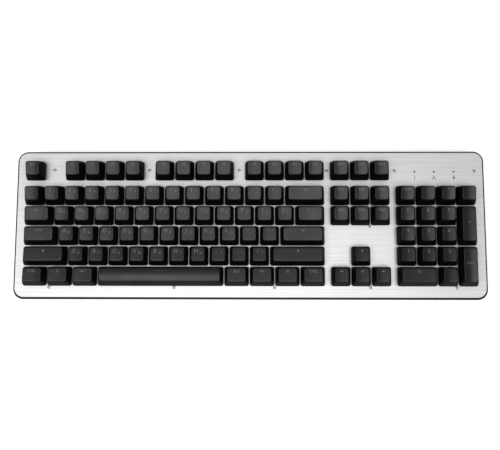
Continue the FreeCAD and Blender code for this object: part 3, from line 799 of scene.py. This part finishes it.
class Lettering:
    """Flat meshes of letters and marks, made once each.

    At the font size here the built-in typeface's capital letters are one unit high.
    """

    font_size = 1.4

    def __init__(self) -> None:
        """Start with nothing made."""
        self.made: dict[Mark, Mesh] = {}

    def flat(self, mark: Mark) -> Mesh:
        """A mark as a flat mesh, capital letters one unit high, made at its first use."""
        if mark not in self.made:
            self.made[mark] = self.drawn(mark) if isinstance(mark, Glyph) else self.written(mark)
        return self.made[mark]

    def centred(self, mark: Mark, size: float) -> Mesh:
        """A mark with its middle on x = y = 0.

        Args:
            mark: The mark.
            size: The height of a capital letter.

        Returns:
            The flat mesh.
        """
        flat = self.flat(mark)
        points = flat.points * size
        points[:, 0] -= points[:, 0].max() / 2
        return Mesh(points, flat.faces)

    def written(self, words: str) -> Mesh:
        """Letters from the built-in typeface, as a mesh.

        Args:
            words: The letters.

        Returns:
            The flat mesh, with its left edge on x = 0 and its middle on y = 0.
        """
        curve = bpy.data.curves.new("letters", "FONT")
        curve.body = words
        curve.size = self.font_size
        curve.resolution_u = 3
        carrier = bpy.data.objects.new("letters", curve)
        data = bpy.data.meshes.new_from_object(carrier)
        coordinates = np.empty(len(data.vertices) * 3)
        data.vertices.foreach_get("co", coordinates)
        points = coordinates.reshape(-1, 3).copy()
        faces = [tuple(face.vertices) for face in data.polygons]
        bpy.data.objects.remove(carrier)
        bpy.data.curves.remove(curve)
        bpy.data.meshes.remove(data)
        points[:, 0] -= points[:, 0].min()
        points[:, 1] -= 0.5
        return Mesh(points, faces)

    @staticmethod
    def drawn(mark: Glyph) -> Mesh:
        """A mark made of strips, arrow heads and rings, its left edge on x = 0 and its middle on y = 0."""
        return Mesh.joined([shape(*sizes) for shape, *sizes in STROKES[mark]])


def strip(x0: float, y0: float, x1: float, y1: float) -> Mesh:
    """A flat rectangle between two corners."""
    return Mesh(np.array([[x0, y0, 0], [x1, y0, 0], [x1, y1, 0], [x0, y1, 0]], float), [(0, 1, 2, 3)])


def head(x: float, y: float, turn: float, reach: float = 0.42) -> Mesh:
    """A flat triangle about a point, that points along an angle in degrees.

    Args:
        x: The point's x.
        y: The point's y.
        turn: The angle.
        reach: From the point to each corner.

    Returns:
        The triangle.
    """
    angles = np.radians([turn, turn + 130.0, turn - 130.0])
    corners = np.stack([np.cos(angles), np.sin(angles), np.zeros(3)], axis=-1) * reach
    return Mesh(corners + np.array([x, y, 0.0]), [(0, 1, 2)])


def ring(outer: float, inner: float, around: int = 24) -> Mesh:
    """A flat ring between two circles, a quad to each step round.

    Args:
        outer: The outer radius.
        inner: The inner radius.
        around: Steps round the ring.

    Returns:
        The ring, its left edge on x = 0.
    """
    circle = raised(unit_circle(around), 0.0)
    here, after = np.arange(around), np.roll(np.arange(around), -1)
    faces = np.stack([here + around, here, after, after + around], axis=-1).tolist()
    points = np.concatenate([circle * outer, circle * inner]) + np.array([outer, 0.0, 0.0])
    return Mesh(points, [tuple(face) for face in faces])


STROKES: dict[Glyph, list[tuple]] = {
    Glyph.LEFT: [(head, 0.42, 0.0, 180.0), (strip, 0.42, -0.08, 1.2, 0.08)],
    Glyph.RIGHT: [(head, 0.8, 0.0, 0.0), (strip, 0.0, -0.08, 0.8, 0.08)],
    Glyph.UP: [(head, 0.4, 0.15, 90.0), (strip, 0.32, -0.55, 0.48, 0.15)],
    Glyph.DOWN: [(head, 0.4, -0.15, 270.0), (strip, 0.32, -0.15, 0.48, 0.55)],
    Glyph.RETURN: [(head, 0.42, -0.12, 180.0), (strip, 0.42, -0.2, 1.2, -0.04),
                   (strip, 1.04, -0.04, 1.2, 0.5)],
    Glyph.SHIFT: [(head, 0.5, 0.1, 90.0, 0.5), (strip, 0.3, -0.5, 0.7, 0.0)],
    Glyph.BACK: [(head, 0.42, 0.0, 180.0), (strip, 0.42, -0.08, 1.7, 0.08)],
    Glyph.TAB: [(head, 0.9, 0.22, 0.0, 0.3), (strip, 0.0, 0.16, 0.8, 0.28), (strip, 1.2, 0.0, 1.28, 0.45),
                (head, 0.38, -0.25, 180.0, 0.3), (strip, 0.48, -0.31, 1.28, -0.19),
                (strip, 0.0, -0.48, 0.08, -0.03)],
    Glyph.RING: [(ring, 0.45, 0.33)],
    Glyph.LIST: [(strip, 0.0, 0.3, 0.9, 0.42), (strip, 0.0, -0.06, 0.9, 0.06),
                 (strip, 0.0, -0.42, 0.9, -0.3)],
    Glyph.DASH: [(strip, 0.0, -0.07, 12.0, 0.07)],
}


def marks(*texts: Mark, size: float = 2.3, along: float = 0.5) -> list[tuple[Legend, ...]]:
    """One legend in the middle of each key, one key to a text."""
    return [(Legend(text, size, 0.0, along),) for text in texts]


def two_scripts(text: str, other: str) -> list[tuple[Legend, ...]]:
    """A letter on each key, with a smaller one of a second alphabet to its right and further down."""
    return [(Legend(first, 3.5, -0.32, 0.45), Legend(second, 2.3, 0.4, 0.2))
            for first, second in zip(text, other)]


def pairs(lower: str, upper: str) -> list[tuple[Legend, ...]]:
    """Two signs side by side on each key: the shifted one is smaller and further down."""
    return [(Legend(plain, 3.2, -0.3, 0.45), Legend(shifted, 2.2, 0.42, 0.28))
            for plain, shifted in zip(lower, upper)]


def run(row: Row, column: float, legends: list[tuple[Legend, ...]], width: float = 1.0, depth: float = 1.0,
        homing: Optional[int] = None) -> list[KeyPlace]:
    """Keys side by side in one row, each one starting where the last one ends.

    Args:
        row: The row.
        column: Where the first key starts, in units.
        legends: The legends, key by key.
        width: Each key's width in units.
        depth: Each key's depth in units.
        homing: The number of the key with a raised line.

    Returns:
        The keys.
    """
    return [KeyPlace(row, column + number * width, width, key, depth, number == homing)
            for number, key in enumerate(legends)]


KEYS: dict[str, list[KeyPlace]] = {
    "escape_key": run(Row.FUNCTION, 0.0, marks("ESC")),
    "f1_to_f4_keys": run(Row.FUNCTION, 2.0, marks("F1", "F2", "F3", "F4")),
    "f5_to_f8_keys": run(Row.FUNCTION, 6.5, marks("F5", "F6", "F7", "F8")),
    "f9_to_f12_keys": run(Row.FUNCTION, 11.0, marks("F9", "F10", "F11", "F12")),
    "system_keys": run(Row.FUNCTION, 15.25, marks("PRT", "SCR", "PAU")),
    "number_keys_left": run(Row.NUMBER, 0.0, pairs("`123456", "~!@#$%^")),
    "number_keys_right": run(Row.NUMBER, 7.0, pairs("7890-=", "&*()_+")),
    "backspace_key": run(Row.NUMBER, 13.0, marks(Glyph.BACK, size=2.6), 2.0),
    "navigation_keys": run(Row.NUMBER, 15.25, marks("INS", "HM", "PGU"))
                       + run(Row.UPPER, 15.25, marks("DEL", "END", "PGD")),
    "numpad_operator_keys": run(Row.NUMBER, 18.5, marks("NUM") + marks(*"/*-", size=2.8)),
    "tab_key": run(Row.UPPER, 0.0, marks(Glyph.TAB, size=2.6), 1.5),
    "upper_letter_keys_left": run(Row.UPPER, 1.5, two_scripts("QWERT", "ЙЦУКЕ")),
    "upper_letter_keys_right": run(Row.UPPER, 6.5, two_scripts("YUIOP", "НГШЩЗ") + pairs("[]", "{}")),
    "backslash_key": run(Row.UPPER, 13.5, pairs("\\", "|"), 1.5),
    "caps_lock_key": run(Row.HOME, 0.0, marks("CAPS"), 1.75),
    "home_letter_keys_left": run(Row.HOME, 1.75, two_scripts("ASDFG", "ФЫВАП"), homing=3),
    "home_letter_keys_right": run(Row.HOME, 6.75, two_scripts("HJKL", "РОЛД") + pairs(";'", ":\""), homing=1),
    "enter_key": run(Row.HOME, 12.75, marks(Glyph.RETURN, size=2.6), 2.25),
    "left_shift_key": run(Row.LOWER, 0.0, marks(Glyph.SHIFT, size=2.6), 2.25),
    "lower_letter_keys_left": run(Row.LOWER, 2.25, two_scripts("ZXCVB", "ЯЧСМИ")),
    "lower_letter_keys_right": run(Row.LOWER, 7.25, two_scripts("NM", "ТЬ") + pairs(",./", "<>?")),
    "right_shift_key": run(Row.LOWER, 12.25, marks(Glyph.SHIFT, size=2.6), 2.75),
    "arrow_up_key": run(Row.LOWER, 16.25, marks(Glyph.UP, size=2.8)),
    "left_control_key": run(Row.BOTTOM, 0.0, marks("CTRL"), 1.25),
    "left_system_key": run(Row.BOTTOM, 1.25, marks(Glyph.RING, size=2.6), 1.25),
    "left_alt_key": run(Row.BOTTOM, 2.5, marks("ALT"), 1.25),
    "space_bar": run(Row.BOTTOM, 3.75, marks(Glyph.DASH, size=1.0, along=0.55), 6.25),
    "right_alt_key": run(Row.BOTTOM, 10.0, marks("ALT"), 1.25),
    "function_key": run(Row.BOTTOM, 11.25, marks("FN"), 1.25),
    "menu_key": run(Row.BOTTOM, 12.5, marks(Glyph.LIST, size=2.6), 1.25),
    "right_control_key": run(Row.BOTTOM, 13.75, marks("CTRL"), 1.25),
    "arrow_left_key": run(Row.BOTTOM, 15.25, marks(Glyph.LEFT, size=2.8)),
    "arrow_down_key": run(Row.BOTTOM, 16.25, marks(Glyph.DOWN, size=2.8)),
    "arrow_right_key": run(Row.BOTTOM, 17.25, marks(Glyph.RIGHT, size=2.8)),
    "numpad_zero_key": run(Row.BOTTOM, 18.5, marks("0", size=3.2), 2.0),
    "numpad_point_key": run(Row.BOTTOM, 20.5, marks(".", size=3.2)),
    "numpad_digit_keys": run(Row.UPPER, 18.5, marks(*"789", size=3.2))
                         + run(Row.HOME, 18.5, marks(*"456", size=3.2), homing=1)
                         + run(Row.LOWER, 18.5, marks(*"123", size=3.2)),
    "numpad_enter_key": run(Row.BOTTOM, 21.5, marks("ENT", along=0.1), depth=2.0),
    "numpad_plus_key": run(Row.HOME, 21.5, marks("+", size=3.2, along=0.1), depth=2.0),
}


@dataclass
class KeyField:
    """All the keys: caps, plungers, stabilizer stems and legends, a body to each run."""

    deck: Deck
    palette: Palette
    cap_gap: float = 0.95 * MM
    rest: float = 5.2 * MM
    legend_lift: float = 0.03 * MM
    stabilizer_spread: float = 11.94 * MM
    space_spread: float = 50.0 * MM
    stabilized_from: float = 2.0
    # Faces that lean up more than this take the painted-light copy of the cap plastic.
    painted_lit_from: float = 0.78
    space_from: float = 6.0
    bar_size: tuple[float, float, float] = (3.4 * MM, 0.7 * MM, 0.5 * MM)
    bar_inset: float = 1.5 * MM
    legend_reach: float = 6.2 * MM
    lettering: Lettering = field(default_factory=Lettering)

    def build(self) -> None:
        """Build every run's pieces and put them on their bodies."""
        for node, places in KEYS.items():
            self.build_node(node, places)
            LOG.info("%s: %d keys", node, len(places))

    def paint_light_on_caps(self, piece: bpy.types.Object) -> None:
        """Paint light and shade into the caps: top faces get the lighter, shinier copy of the plastic as
        painted light, and a face belongs to the top when it leans less than the walls.

        Args:
            piece: The caps, whose every face has the first material, the darker, duller copy that stands for
                painted shade.
        """
        piece.data.materials.append(self.palette.painted_lit_tops)
        normals = np.empty(len(piece.data.polygons) * 3, dtype=np.float32)
        piece.data.polygons.foreach_get("normal", normals)
        upright = normals.reshape(-1, 3) @ self.deck.turn[2]
        # Faces that face up take the painted-light copy; the walls keep the painted-shade copy.
        lit_or_shaded_slots = (upright > self.painted_lit_from).astype(np.int32)
        piece.data.polygons.foreach_set("material_index", lit_or_shaded_slots)

    def build_node(self, node: str, places: list[KeyPlace]) -> None:
        """Build the pieces that stand for one node.

        Args:
            node: The node's name, which is its body's too.
            places: Its keys.
        """
        caps, plungers, prints = [], [], []
        for place in places:
            middle = self.deck.spot(place.column + place.width / 2, place.row.front + place.depth / 2)
            shape = self.shape(place)
            lifted = middle + np.array([0.0, 0.0, self.rest])
            caps.append(shape.build().moved(lifted))
            if place.homing:
                caps.append(self.homing_bar(shape).moved(lifted))
            plungers += self.plungers(place, middle)
            prints += [self.print_legend(shape, legend).moved(lifted) for legend in place.legends]
        paint = self.palette
        pieces = [
            make_piece(node + "_caps", self.deck.place(Mesh.joined(caps)), paint.painted_shade_skirts, 50.0),
            make_piece(node + "_plungers", self.deck.place(Mesh.joined(plungers)), paint.plunger, 40.0),
            make_piece(node + "_legends", self.deck.place(Mesh.joined(prints)), paint.legend),
        ]
        # The caps are built in the painted-shade copy of the plastic, and their top faces then get the
        # painted-light copy.
        self.paint_light_on_caps(pieces[0])
        for piece in pieces:
            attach(piece, node)
        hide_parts(node)

    def shape(self, place: KeyPlace) -> CapShape:
        """The cap of one key: tall keys are level, and the space bar is arched.

        Args:
            place: The key.

        Returns:
            The cap's sizes.
        """
        width = place.width * self.deck.pitch - self.cap_gap
        depth = place.depth * self.deck.pitch - self.cap_gap
        if place.depth > 1.0:
            return CapShape(width, depth, Row.HOME.height, 0.0)
        if place.width >= self.space_from:
            return CapShape(width, depth, place.row.height, 0.0, Crown.ARCHED)
        return CapShape(width, depth, place.row.height, place.row.lean)

    def plungers(self, place: KeyPlace, middle: Array) -> list[Mesh]:
        """The switch's plunger, and the two stabilizer stems under a long key.

        Args:
            place: The key.
            middle: The deck point under its middle.

        Returns:
            Their meshes in the deck.
        """
        made = [Plunger().build().moved(middle)]
        if place.width < self.stabilized_from and place.depth < self.stabilized_from:
            return made
        spread = self.space_spread if place.width >= self.space_from else self.stabilizer_spread
        along = np.array([0.0, 1.0, 0.0]) if place.depth > 1.0 else np.array([1.0, 0.0, 0.0])
        for side in (-1, 1):
            made.append(STEM.build().moved(middle + side * spread * along))
        return made

    def homing_bar(self, shape: CapShape) -> Mesh:
        """The raised line that a finger finds: a half round bar that follows the dish.

        Each ring is a flattened half circle across the bar, smaller towards both ends.

        Args:
            shape: The cap it is on.

        Returns:
            The bar in the cap's own place.
        """
        length, breadth, height = self.bar_size
        rings, around = 9, 10
        steps = np.linspace(-1.0, 1.0, rings)
        taper = np.sqrt(np.clip(1.0 - np.abs(steps) ** 6, 0.04, 1.0))
        across, up = unit_circle(around).T
        x = np.broadcast_to(steps[:, None] * length / 2, (rings, around))
        y = shape.front + self.bar_inset + taper[:, None] * across[None] * breadth / 2
        z = shape.top(x, y) + taper[:, None] * up[None] * height
        return tube_of_rings(np.stack([x, y, z], axis=-1))

    def print_legend(self, shape: CapShape, legend: Legend) -> Mesh:
        """A legend laid on the top: its height is the top's height under each point.

        Args:
            shape: The cap it is on.
            legend: The mark, its size and place.

        Returns:
            The print in the cap's own place.
        """
        flat = self.lettering.centred(legend.mark, legend.size * MM)
        points = flat.points
        half_depth = (shape.rear - shape.front) / 2
        points[:, 0] += legend.across * min(shape.half_width, self.legend_reach)
        points[:, 1] += (shape.front + shape.rear) / 2 + legend.along * half_depth
        points[:, 2] = shape.top(points[:, 0], points[:, 1]) + self.legend_lift
        return Mesh(points, flat.faces)


# ----------------------------------------
# Pieces whose shape the frame holds


@dataclass(frozen=True)
class Softened:
    """A node's own shape with its sharp edges broken."""

    node: str
    body: str
    material: bpy.types.Material
    slot: str
    width: float = 0.3 * MM
    segments: int = 2
    sharper_than: float = 40.0

    def build(self) -> None:
        """Copy the node's mesh, merge its loose triangles, bevel it and let it stand for the node."""
        data = frame["nodes"][self.node].data.copy()
        data.name = self.node + "_finished"
        data.materials.clear()
        data.materials.append(self.material)
        work = bmesh.new()
        work.from_mesh(data)
        bmesh.ops.remove_doubles(work, verts=work.verts, dist=1e-6)
        bmesh.ops.dissolve_limit(work, angle_limit=math.radians(1.0), verts=work.verts, edges=work.edges)
        work.to_mesh(data)
        work.free()
        piece = bpy.data.objects.new(data.name, data)
        bpy.context.scene.collection.objects.link(piece)
        bevel = piece.modifiers.new("broken_edges", "BEVEL")
        bevel.width = self.width
        bevel.segments = self.segments
        bevel.limit_method = "ANGLE"
        bevel.angle_limit = math.radians(self.sharper_than)
        bevel.use_clamp_overlap = True
        shade(piece, 30.0)
        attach(piece, self.body)
        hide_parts(self.node)
        LOG.info("%s: edges broken by %.2f mm", self.node, self.width / MM)


@dataclass
class Casework:
    """The case under the plate, its socket, and what the keyboard stands on."""

    palette: Palette

    def build(self) -> None:
        """Build the case, socket, feet and pads."""
        paint = self.palette
        parts = [
            Softened("bottom_case", BASE, paint.case, "case_plastic", 0.7 * MM, 3),
            Softened("front_rubber_pads", BASE, paint.rubber, "foot_rubber", 0.4 * MM),
            Softened("rear_rubber_pads", BASE, paint.rubber, "foot_rubber", 0.4 * MM),
            Softened("usb_socket", BASE, paint.socket, "socket_steel", 0.1 * MM),
        ]
        for side in ("left", "right"):
            body = side + "_foot"
            parts.append(Softened(side + "_foot", body, paint.case, "case_plastic", 0.35 * MM))
            parts.append(Softened(side + "_foot_pad", body, paint.rubber, "foot_rubber", 0.25 * MM))
        for part in parts:
            part.build()


@dataclass
class InnerWorks:
    """The plate and what is under it: these keep their own shape, and only their finish is set."""

    palette: Palette

    def build(self) -> None:
        """Give each of these nodes its finish."""
        paint = self.palette
        finishes = {
            "top_plate": paint.plate,
            "circuit_board": paint.board,
            "board_diodes": paint.chip,
            "controller_chip": paint.chip,
            "switch_lower_housings": paint.switch,
            "switch_upper_housings": paint.switch,
            "switch_springs": paint.steel,
            "stabilizer_housings": paint.switch,
            "stabilizer_wires": paint.steel,
            "indicator_lights": paint.lamp,
        }
        for node, material in finishes.items():
            data = frame["nodes"][node].data
            data.materials.clear()
            data.materials.append(material)
            LOG.info("%s: finished", node)


@dataclass
class PlateScrews:
    """Pan-head screws with a cross recess, in the plate."""

    deck: Deck
    palette: Palette
    spots: tuple[tuple[float, float], ...] = (
        (1.36, 5.84), (6.19, 5.83), (10.73, 5.83), (15.13, 5.8), (18.55, 5.8), (22.55, 5.78),
        (9.5, 4.0), (4.75, 3.0), (8.75, 3.0), (17.25, 3.0),
        (1.25, -0.05), (7.5, -0.05), (12.5, -0.05), (17.25, -0.05), (21.5, -0.05),
    )
    head_radius: float = 1.6 * MM
    head_height: float = 0.8 * MM
    shank_radius: float = 0.95 * MM
    length: float = 7.0 * MM
    recess_reach: float = 0.95 * MM
    recess_half: float = 0.2 * MM
    recess_depth: float = 0.45 * MM
    around: int = 48

    def build(self) -> None:
        """Build the screws as one piece, each turned by a different amount."""
        screws = []
        for number, (column, row) in enumerate(self.spots):
            screws.append(self.screw(number * 0.9).moved(self.deck.spot(column, row)))
        piece = make_piece("plate_screw_set", self.deck.place(Mesh.joined(screws)), self.palette.screw, 40.0)
        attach(piece, BASE)
        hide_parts("plate_screws")
        LOG.info("plate_screws: %d screws", len(self.spots))

    def screw(self, turn: float) -> Mesh:
        """One screw.

        The head is a shallow dome over a circle: height falls with the square of the radius.  The
        recess takes its depth off wherever a point is within a half width of either arm of the cross.

        Args:
            turn: How far the recess is turned, in radians.

        Returns:
            The screw, its head on z = 0.
        """
        circle = unit_circle(self.around)
        shank = [(0.4, -self.length), (1.0, -self.length + 0.4 * MM), (1.0, 0.0)]
        rings = [raised(circle * self.shank_radius * share, level) for share, level in shank]
        rings.append(raised(circle * self.head_radius, 0.0))
        rings.append(raised(circle * self.head_radius, self.head_height * 0.35))
        for radius in np.linspace(0.94, 0.06, 15) * self.head_radius:
            points = circle * radius
            dome = self.head_height * (1.0 - 0.45 * (radius / self.head_radius) ** 2)
            rings.append(raised(points, dome - self.recess(points, turn)))
        return tube_of_rings(np.stack(rings))

    def recess(self, points: Array, turn: float) -> Array:
        """How deep the cross recess is.

        Args:
            points: Points on the head as x, y.
            turn: How far the recess is turned, in radians.

        Returns:
            The depth at each point.
        """
        cosine, sine = math.cos(turn), math.sin(turn)
        x = points[:, 0] * cosine + points[:, 1] * sine
        y = points[:, 1] * cosine - points[:, 0] * sine
        reach = np.maximum(np.abs(x), np.abs(y))
        nearest = np.minimum(np.abs(x), np.abs(y))
        arm = np.clip((self.recess_half - nearest) / (0.12 * MM) + 0.5, 0.0, 1.0)
        end = np.clip((self.recess_reach - reach) / (0.15 * MM) + 0.5, 0.0, 1.0)
        return arm * end * self.recess_depth


@dataclass
class StateLamps:
    """The three lamps above the number pad, with a mark under each."""

    deck: Deck
    palette: Palette
    columns: tuple[float, ...] = (19.58, 20.55, 21.54)
    row: float = 5.75
    mark_row: float = 5.46
    radius: float = 0.8 * MM
    foot: float = -4.2 * MM
    stand: float = 0.2 * MM
    mark_size: float = 4.2 * MM
    mark_lift: float = 0.02 * MM
    marks: tuple[Mark, ...] = ("1", "A", Glyph.DOWN)

    def build(self) -> None:
        """Build the lenses and the printed marks."""
        rod = turned_profile(
            [self.radius, self.radius, self.radius, self.radius * 0.85, self.radius * 0.45],
            [self.foot, -0.2 * MM, self.stand * 0.2, self.stand * 0.8, self.stand],
        )
        lenses = [rod.moved(self.deck.spot(column, self.row)) for column in self.columns]
        lens_set = self.deck.place(Mesh.joined(lenses))
        piece = make_piece("indicator_lens_set", lens_set, self.palette.lens, 50.0)
        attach(piece, BASE)
        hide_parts("indicator_lenses")
        lettering = Lettering()
        prints = []
        for column, mark in zip(self.columns, self.marks):
            spot = self.deck.spot(column, self.mark_row, self.mark_lift)
            prints.append(lettering.centred(mark, self.mark_size).moved(spot))
        piece = make_piece("indicator_marks", self.deck.place(Mesh.joined(prints)), self.palette.mark)
        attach(piece, BASE)
        LOG.info("indicator_lenses: %d lamps", len(self.columns))


# ----------------------------------------
# The studio


@dataclass
class Studio:
    """Pale floor, a soft light and the camera over the keyboard."""

    deck: Deck
    floor_reach: float = 3.0
    world_strength: float = 0.42
    light_place: tuple[float, float, float] = (-0.17, -0.26, 1.0)
    light_size: tuple[float, float] = (1.3, 0.5)
    light_power: float = 9.2
    eye: tuple[float, float, float] = (7.6 * MM, 32.5 * MM, 542.0 * MM)
    tilt: float = math.radians(5.56)
    swing: float = 0.013
    lens: float = 40.87
    shift_y: float = -0.035

    def build(self) -> None:
        """Build the floor, world, light and camera."""
        self.floor()
        self.world()
        self.light()
        self.camera()
        LOG.info("studio ready")

    def floor(self) -> None:
        """A wide pale table top that glows a little, so that it stays white under the keyboard."""
        square = np.array([[-1.0, -1.0, 0.0], [1.0, -1.0, 0.0], [1.0, 1.0, 0.0], [-1.0, 1.0, 0.0]])
        recipe = Recipe("pale_paper")
        fibre = recipe.noise(700.0, 3.0)
        recipe.set(Base_Color=recipe.mixed(fibre, (0.86, 0.86, 0.86), (0.9, 0.9, 0.9)), Roughness=0.9)
        recipe.set(Emission_Color=(1.0, 1.0, 1.0, 1.0), Emission_Strength=0.4)
        floor = make_piece("studio_floor", Mesh(square * self.floor_reach, [(0, 1, 2, 3)]), recipe.material)

    def world(self) -> None:
        """Even white surroundings."""
        world = bpy.data.worlds.new("studio_world")
        world.use_nodes = True
        background = world.node_tree.nodes["Background"]
        background.inputs["Color"].default_value = (1.0, 1.0, 1.0, 1.0)
        background.inputs["Strength"].default_value = self.world_strength
        bpy.context.scene.world = world
        bpy.context.scene.view_settings.view_transform = "Standard"

    def light(self) -> None:
        """A wide soft light overhead, a little to the front and left."""
        data = bpy.data.lights.new("overhead_softbox", "AREA")
        data.shape = "RECTANGLE"
        data.size, data.size_y = self.light_size
        data.energy = self.light_power
        softbox = bpy.data.objects.new("overhead_softbox", data)
        softbox.matrix_world = Matrix.Translation(Vector(self.light_place))
        bpy.context.scene.collection.objects.link(softbox)

    def camera(self) -> None:
        """The camera over the deck: its own tilt and the deck's lean add up."""
        data = bpy.data.cameras.new("camera")
        data.sensor_width = 36.0
        data.lens = self.lens
        data.shift_y = self.shift_y
        data.clip_start = 0.01
        camera = bpy.data.objects.new("camera", data)
        eye = self.deck.to_frame(np.array([self.eye]))[0]
        turn = Matrix.Rotation(self.deck.lean + self.tilt, 4, "X") @ Matrix.Rotation(self.swing, 4, "Y")
        camera.matrix_world = Matrix.Translation(eye) @ turn
        bpy.context.scene.collection.objects.link(camera)
        bpy.context.scene.camera = camera


def main() -> None:
    """Build the keyboard and its studio."""
    logging.basicConfig(level=logging.INFO, format="%(name)s: %(message)s")
    deck = Deck()
    palette = Palette()
    KeyField(deck, palette).build()
    Casework(palette).build()
    PlateScrews(deck, palette).build()
    StateLamps(deck, palette).build()
    InnerWorks(palette).build()
    Studio(deck).build()


if __name__ == "__main__":
    main()
